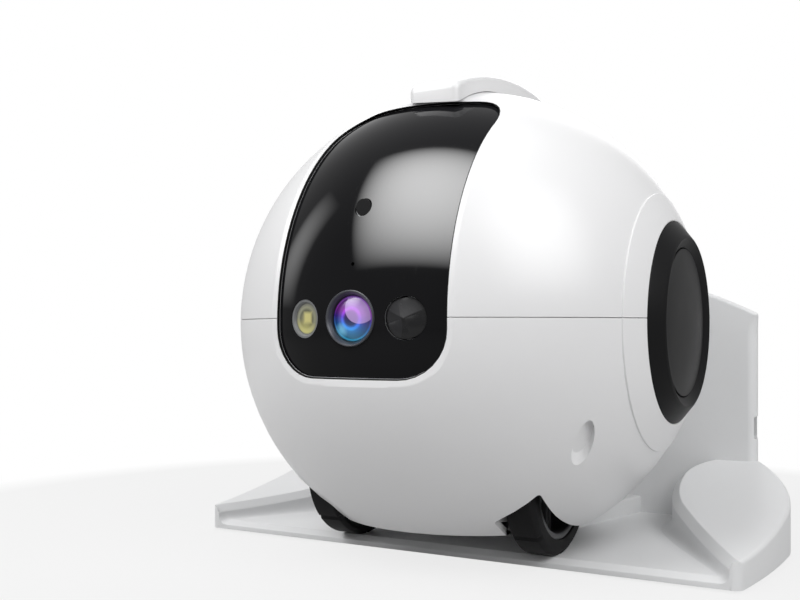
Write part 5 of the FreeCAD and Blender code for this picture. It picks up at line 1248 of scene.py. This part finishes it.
def bay_line(sizes):
    """The parking bay's side from ahead of the dock into the column: straight, then two arcs at the waist."""
    mouth, throat = (sizes.bay_mouth, -sizes.front), (sizes.bay_throat, sizes.bay_throat_set)
    waist, rear = (sizes.bay_waist, sizes.bay_waist_set), (sizes.bay_rear, sizes.column_front + 2 * MM)
    lead, run_out = 10 * MM / (throat[1] - mouth[1]), 12 * MM
    ahead = [mouth[k] + (mouth[k] - throat[k]) * lead for k in range(2)]
    beyond = (rear[0] + run_out, rear[1] + run_out)
    curve = [tangent_arc(waist, throat)[::-1], tangent_arc(waist, rear)[1:]]
    return np.concatenate([[ahead, mouth], *curve, [beyond]])


def bay_side(sizes, y, inset):
    """Where the bay's side lies at the depths y, drawn into the pad by an inset: x of the line's parallel."""
    line = bay_line(sizes)
    parallel = line + outwards(line, closed=False) * inset
    return np.interp(y, parallel[:, 1], parallel[:, 0])


def tray_level(sizes, y):
    """Height of the tray: flat, then sloping down by two thirds of the nose over its length in front."""
    return sizes.tray - sizes.nose * 2 / 3 * (1 - np.clip((y + sizes.front) / sizes.nose, 0, 1))


def pad_shape(side, sizes):
    """A side pad: its cross-section at given depths carried from the front into the column.

    The top is a hollow arc z = zc - sqrt(R^2 - (y - yc)^2). From the outer side, an arc in plan, the section
    runs over a quarter round, the top, the slope along the bay and the wall down to a hollow quarter round on
    the tray.
    """
    ends = np.array([[-sizes.front, sizes.pad_front], [sizes.column_front + 1 * MM, sizes.pad_rear]])
    chord = ends[1] - ends[0]
    half = np.linalg.norm(chord) / 2
    up = np.array([-chord[1], chord[0]]) / (2 * half)
    middle = ends.mean(0) + up * math.sqrt(sizes.pad_hollow**2 - half**2)
    nose, corner = 0.8 * MM, 3.2 * MM
    rear = sizes.column_front + 4 * MM
    first = -sizes.front + corner * (1 - np.cos(np.linspace(0, math.pi / 2, 12)))
    y = np.concatenate([first, np.linspace(first[-1], rear, 110)[1:]])
    over = np.minimum(y, ends[1, 0])
    top = middle[1] - np.sqrt(sizes.pad_hollow**2 - (over - middle[0]) ** 2)
    near = np.clip((y + sizes.front) / nose, 0, 1)
    top = top - nose * (1 - np.sqrt(1 - (1 - near) ** 2))
    widest = (sizes.widest_width, sizes.widest)
    ahead = tangent_arc(widest, (sizes.front_width, -sizes.front))[::-1]
    behind = tangent_arc(widest, (sizes.column_width - 2 * MM, rear))
    plan = np.concatenate([ahead, behind[1:]])
    out = np.interp(y, plan[:, 1], plan[:, 0])
    near = np.clip((y + sizes.front) / corner, 0, 1)
    out = out - corner * (1 - np.sqrt(1 - (1 - near) ** 2))
    bevel = sizes.bay_bevel
    room = out - bay_side(sizes, y, bevel)
    edge = np.minimum(sizes.pad_edge, np.maximum(room * 0.8, 0.05 * MM))
    inset, depth = quarter(5)
    x, z = [out, out], [np.full(len(y), sizes.foot), top - edge * 1.5]
    x += [out - edge * i for i in inset]
    z += [top - edge * d for d in depth]
    slope = rounded([(3 * bevel, 0), (bevel, 0), (0, bevel), (0, 3 * bevel)], 1.0 * MM, 5, closed=False)[1:-1]
    x += [np.minimum(bay_side(sizes, y, i), out - edge) for i, d in slope]
    z += [top - d for i, d in slope]
    level = tray_level(sizes, y)
    foot = np.minimum(sizes.bay_foot, 0.7 * (top - bevel - level))
    for i, d in zip(*quarter(6)):
        x.append(bay_side(sizes, y, 0) - foot * i)
        z.append(level + foot * d)
    x += [x[-1], bay_side(sizes, y, 0.4 * MM), bay_side(sizes, y, 0.4 * MM)]
    z += [level - 0.5 * MM, level - 1 * MM, np.full(len(y), sizes.foot)]
    x, z = np.stack(x, axis=1), np.stack(z, axis=1)
    points = np.stack([side * x, np.broadcast_to(y[:, None], x.shape), z], axis=-1)
    return grid(points, around=True, capped=True)


def tray_shape(sizes):
    """The tray: its side view, a loop of top and underside, carried across to just inside the pads' walls."""
    inside = 0.05 * MM
    start = -sizes.front + inside
    y = np.concatenate([[start, start + 0.25 * MM], np.linspace(start + sizes.nose, 95 * MM, 60)])
    top = tray_level(sizes, y)
    top[0] -= 0.3 * MM
    loop_y = np.concatenate([y, y[::-1]])
    loop_z = np.concatenate([top, np.full(len(y), sizes.foot + inside)])
    half = np.minimum(bay_side(sizes, loop_y, 0.3 * MM), sizes.front_width - 1 * MM)
    share = np.linspace(-1, 1, 9)
    x = half[:, None] * share[None]
    y, z = [np.broadcast_to(loop[:, None], x.shape) for loop in (loop_y, loop_z)]
    return grid(np.stack([x, y, z], axis=-1), over=True, capped=True)


def column_part(sizes, start, stop, edge_start, edge_stop):
    """A stretch of the column: its arched front view carried along Y and narrowed evenly towards the rear.

    The top is z = shoulder - sqrt(R^2 - w^2) + sqrt(R^2 - x^2). An end edge given as None has the column's
    own rounding, wide on the uprights and narrow over the top; else it is a plain quarter round of that size.
    """
    half = sizes.column_width
    x = np.linspace(half, -half, 61)
    drop = math.sqrt(sizes.column_arch**2 - half**2)
    arch = np.stack([x, sizes.column_shoulder - drop + np.sqrt(sizes.column_arch**2 - x**2)], axis=1)
    corners = np.concatenate([[(-half, sizes.foot), (half, sizes.foot)], arch])
    radii = np.zeros(len(corners))
    radii[[2, -1]] = 2 * MM
    outline = refined(rounded(corners, radii, 6), 4 * MM, closed=True)
    upright = np.abs(outline[:, 0]) > half - 0.5 * MM
    height = outline[:, 1]
    marks = [sizes.foot, sizes.foot + 8 * MM, sizes.column_shoulder - 7 * MM, sizes.column_shoulder]
    wide = np.interp(height, marks, [0.5 * MM, sizes.column_edge, sizes.column_edge, sizes.column_bevel])
    level = np.where(height > sizes.column_shoulder - 1 * MM, sizes.column_bevel, 0.5 * MM)
    own = np.where(upright, wide, level)
    edges = [own if edge is None else edge for edge in (edge_start, edge_stop)]
    points, faces = slab(outline, "y", start, stop, *edges, steps=7)
    share = (points[:, 1] - sizes.column_front) / (sizes.column_back - sizes.column_front)
    points[:, 0] *= 1 - (1 - sizes.column_rear / half) * share
    return points, faces


class PETCAMERA_OT_dock(bpy.types.Operator):
    """Build the dock's housing and the column's rear cover"""

    bl_idname = "petcamera.dock"
    bl_label = "Charging dock"

    def execute(self, context):
        sizes = context.scene.pet_camera_dock
        room = self.plate_room(sizes)
        base = [pad_shape(1, sizes), pad_shape(-1, sizes), tray_shape(sizes)]
        base = [carved(shape, room) for shape in base]
        gap = sizes.joint / 2
        head = column_part(sizes, sizes.column_front, sizes.cover_front - gap, None, 0.3 * MM)
        head = carved(head, self.ball_space(), self.inlet_recess(), room)
        tail = column_part(sizes, sizes.cover_front + gap, sizes.column_back, 0.3 * MM, None)
        for name, shape, node in (
            ("dock_moulding", together(*base, self.ledge(), head), "dock_housing"),
            ("column_cover", carved(tail, room), "dock_cover"),
        ):
            make_piece(name, shape, "dock_white", "dock", node, shift=DOCK_FLOOR, even=True)
        return {"FINISHED"}

    def plate_room(self, sizes):
        """The bottom plate's place in the underside, with a fine gap round it."""
        gap = 0.2 * MM
        wall = 2.6 * MM - gap
        half, rear = sizes.column_width - wall, sizes.column_rear - wall
        low, high = -sizes.front + 7 * MM - gap, sizes.column_back - wall
        corners = [(-half, low), (half, low), (half, sizes.column_front), (rear, high)]
        corners += [(-rear, high), (-half, sizes.column_front)]
        return slab(np.array(corners), "z", -5 * MM, sizes.foot + 2.05 * MM, steps=2)

    def ball_space(self):
        """The hollow that the column's front leaves free round the robot, a little wider than the ball."""
        turn = np.linspace(0, math.pi, 65)
        profile = np.stack([np.cos(turn), np.abs(np.sin(turn))], axis=1) * 102.5 * MM
        return lathe(profile, "y", (0, 0, BALL[2]), 128)

    def inlet_recess(self):
        """The square recess of the power inlet in the column's side."""
        opening = box_outline(mm([93.2, 43.6]), mm([105.2, 54.4]), 1.2 * MM)
        return slab(opening, "x", 90 * MM, OUTSIDE, steps=2)

    def ledge(self):
        """The tongue that carries the charging pins, with the castor's notch."""
        corners = mm([(-37.5, 36), (-19, 36), (-19, 54), (19, 54), (19, 36), (37.5, 36), (50, 93), (-50, 93)])
        outline = rounded(corners, mm([2.5, 2, 3, 3, 2, 2.5, 0, 0]), 5)
        tongue = slab(outline, "z", 4.5 * MM, 13 * MM, 0, 1.0 * MM)
        places = [mm([a * CONTACT_SIDE, CONTACT_BACK]) for a in (1, -1)]
        return carved(tongue, *[disc_prism("z", 1.65 * MM, 0, 50 * MM, place, 32) for place in places])


# ------------------------------------------------------------------------------
# Nodes that keep their own shape


PLAIN_NODES = {
    "steel": [
        "shell_screws", "axle_left", "axle_right", "castor_axle", "lid_hinge_pin", "dock_screws",
        "pin_spring_left", "pin_spring_right", "speaker", "motion_sensor",
    ],
    "contact_gold": ["charge_plates", "charge_pin_left", "charge_pin_right"],
    "board_green": ["main_board", "camera_board", "charger_board"],
    "inner_plastic": [
        "visor_carrier", "chassis", "battery_tray", "button_switch", "launch_servo", "castor_fork",
        "camera_barrel", "lamp_module", "gear_motor_left", "gear_motor_right", "rotor_motor",
    ],
    "hopper_clear": ["treat_hopper", "launch_chute", "treat_rotor", "launch_paddle"],
    "cell_blue": ["battery_pack"],
    "plate_grey": ["dock_bottom_plate"],
    "foot_rubber": ["dock_feet"],
    "inlet_black": ["power_inlet"],
    # Pieces darkened to stand for the shade inside their holes: partly painted shade.
    "hole_black": ["pointer_module", "microphone"],
    "tyre_rubber": ["castor_wheel"],
    "cap_graphite": ["power_button"],
}


class PETCAMERA_OT_inner_pieces(bpy.types.Operator):
    """Give the pieces that keep their own shape their finishes"""

    bl_idname = "petcamera.inner_pieces"
    bl_label = "Inner pieces"

    def execute(self, context):
        for finish, names in PLAIN_NODES.items():
            for name in names:
                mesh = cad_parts[name].data
                mesh.materials.clear()
                mesh.materials.append(material(finish))
        for side in SIDES:
            spring = bpy.data.objects["pin_spring_" + side]
            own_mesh(spring)
        return {"FINISHED"}


# ------------------------------------------------------------------------------
# Stage


def seen_white(paint):
    """How far the backdrop is white: to the camera and behind glass in full, in reflections in part."""
    path = paint.node("ShaderNodeLightPath")
    return path["Is Camera Ray"].most(path["Is Glossy Ray"] * 0.4).most(path["Is Transmission Ray"])


class PETCAMERA_OT_stage(bpy.types.Operator):
    """Set the floor, the lights and the camera"""

    bl_idname = "petcamera.stage"
    bl_label = "Floor, lights and camera"

    def execute(self, context):
        self.floor()
        self.world(context.scene)
        self.lights()
        self.camera(context.scene)
        return {"FINISHED"}

    def floor(self):
        """A wide flat floor, pale and matt to the light, that fades to plain white away from the object."""
        half = 3.0
        mesh = bpy.data.meshes.new("floor")
        corners = [(-half, -half, 0), (half, -half, 0), (half, half, 0), (-half, half, 0)]
        mesh.from_pydata(corners, [], [[0, 1, 2, 3]])
        thing = new_object("floor", mesh)
        paint = Paint("stage_white")
        at = paint.place()
        away = paint.spread(paint.distance(at, "z"), 0.14, 0.34, 0.0, 1.0)
        rough = paint.between(paint.noise(at, 300.0), 0.7, 0.8)
        matt = {"Base Color": (0.42, 0.42, 0.42, 1), "Roughness": rough}
        matt = paint.node("ShaderNodeBsdfPrincipled", None, matt)
        white = paint.node("ShaderNodeEmission", None, {"Color": (1, 1, 1, 1), "Strength": 1.0})
        share = away.most(0.8) * seen_white(paint)
        mixed = paint.node("ShaderNodeMixShader", None, {0: share, 1: matt[0], 2: white[0]})
        paint.node("ShaderNodeOutputMaterial", None, {"Surface": mixed[0]})
        mesh.materials.append(paint.owner)

    def world(self, scene):
        """A dim even glow that shows white to the camera."""
        scene.world = bpy.data.worlds.new("studio")
        paint = Paint(scene.world)
        glow = paint.node("ShaderNodeBackground", None, {"Color": (0.93, 0.93, 0.94, 1), "Strength": 0.24})
        white = paint.node("ShaderNodeBackground", None, {"Color": (1, 1, 1, 1)})
        mixed = paint.node("ShaderNodeMixShader", None, {0: seen_white(paint), 1: glow[0], 2: white[0]})
        paint.node("ShaderNodeOutputWorld", None, {"Surface": mixed[0]})

    def lamp(self, name, azimuth, elevation, across, up, watts, receivers):
        """A softbox 1 m from the ball that looks at it from a direction and lights some of the pieces.

        Azimuth 0 is straight ahead of the robot, and grows towards its left-hand side. The glow falls as
        (1 - x^2)(1 - y^2) from the middle to the edges.
        """
        data = bpy.data.lights.new(name, "AREA")
        data.shape, data.size, data.size_y, data.energy = "RECTANGLE", across, up, watts
        paint = Paint(data)
        place = paint.axes(paint.node("ShaderNodeNewGeometry")["Parametric"])
        x, y = [part - 0.5 for part in place[:2]]
        glow = paint.node("ShaderNodeEmission", None, {"Strength": (1 - x * x * 4) * (1 - y * y * 4)})
        paint.node("ShaderNodeOutputLight", None, {"Surface": glow[0]})
        thing = new_object(name, data)
        a, e = math.radians(azimuth), math.radians(elevation)
        thing.location = BALL + np.array([math.sin(a) * math.cos(e), -math.cos(a) * math.cos(e), math.sin(e)])
        thing.rotation_euler = (math.radians(90) - e, 0, a)
        thing.light_linking.receiver_collection = receivers

    def lights(self):
        """Soft light for all but the glossy visor, and a gleam and a strip for the visor alone."""
        front = bpy.data.objects["visor_panel"]
        others, glossy = [bpy.data.collections.new(name) for name in ("all_but_front", "glossy_front")]
        for group in (others, glossy):
            group.objects.link(front)
        others.collection_objects[0].light_linking.link_state = "EXCLUDE"
        self.lamp("key_light", -42, 42, 0.9, 0.9, 15.5, others)
        self.lamp("side_light", 62, 37, 0.9, 1.0, 14.0, others)
        self.lamp("top_light", 20, 84, 1.0, 1.0, 3.5, others)
        self.lamp("back_light", 200, 30, 0.9, 0.9, 6.0, others)
        self.lamp("gleam_light", 2, 56, 1.4, 1.24, 330.0, glossy)
        self.lamp("strip_light", -72, 24, 0.3, 0.7, 3.6, glossy)

    def camera(self, scene):
        data = bpy.data.cameras.new("camera")
        data.sensor_width, data.lens = 36.0, 46.17
        data.shift_x, data.shift_y = 0.0, 0.0386
        data.clip_start, data.clip_end = 0.02, 20.0
        thing = new_object("camera", data)
        thing.location = BALL + np.array([199.8, -409.3, -3.3]) * MM
        thing.rotation_euler = (math.radians(90), 0, math.radians(29.87))
        scene.camera = thing
        scene.view_settings.view_transform = "Standard"


# ------------------------------------------------------------------------------
# Panel and registration


class PETCAMERA_PT_panel(bpy.types.Panel):
    """Lists the pieces that can be built and their sizes"""

    bl_idname = "PETCAMERA_PT_panel"
    bl_label = "Pet Camera"
    bl_space_type = "VIEW_3D"
    bl_region_type = "UI"
    bl_category = "Pet Camera"

    def draw(self, context):
        scene = context.scene
        for operator in OPERATORS:
            self.layout.operator(operator.bl_idname)
        for group in (scene.pet_camera_robot, scene.pet_camera_dock, scene.pet_camera_colours):
            box = self.layout.box()
            for name in group.bl_rna.properties.keys():
                if name not in ("rna_type", "name"):
                    box.prop(group, name)


OPERATORS = [
    PETCAMERA_OT_shells,
    PETCAMERA_OT_side_trim,
    PETCAMERA_OT_front,
    PETCAMERA_OT_lid,
    PETCAMERA_OT_wheels,
    PETCAMERA_OT_dock,
    PETCAMERA_OT_inner_pieces,
    PETCAMERA_OT_stage,
]
GROUPS = {
    "pet_camera_robot": PetCameraRobotSizes,
    "pet_camera_dock": PetCameraDockSizes,
    "pet_camera_colours": PetCameraColours,
}
CLASSES = [*GROUPS.values(), *OPERATORS, PETCAMERA_PT_panel]


def register():
    for cls in CLASSES:
        bpy.utils.register_class(cls)
    for name, group in GROUPS.items():
        setattr(bpy.types.Scene, name, PointerProperty(type=group))


def unregister():
    for name in GROUPS:
        delattr(bpy.types.Scene, name)
    for cls in reversed(CLASSES):
        bpy.utils.unregister_class(cls)


def main():
    """Registers the add-on and builds every piece."""
    register()
    for operator in OPERATORS:
        group, name = operator.bl_idname.split(".")
        getattr(getattr(bpy.ops, group), name)()


if __name__ == "__main__":
    main()
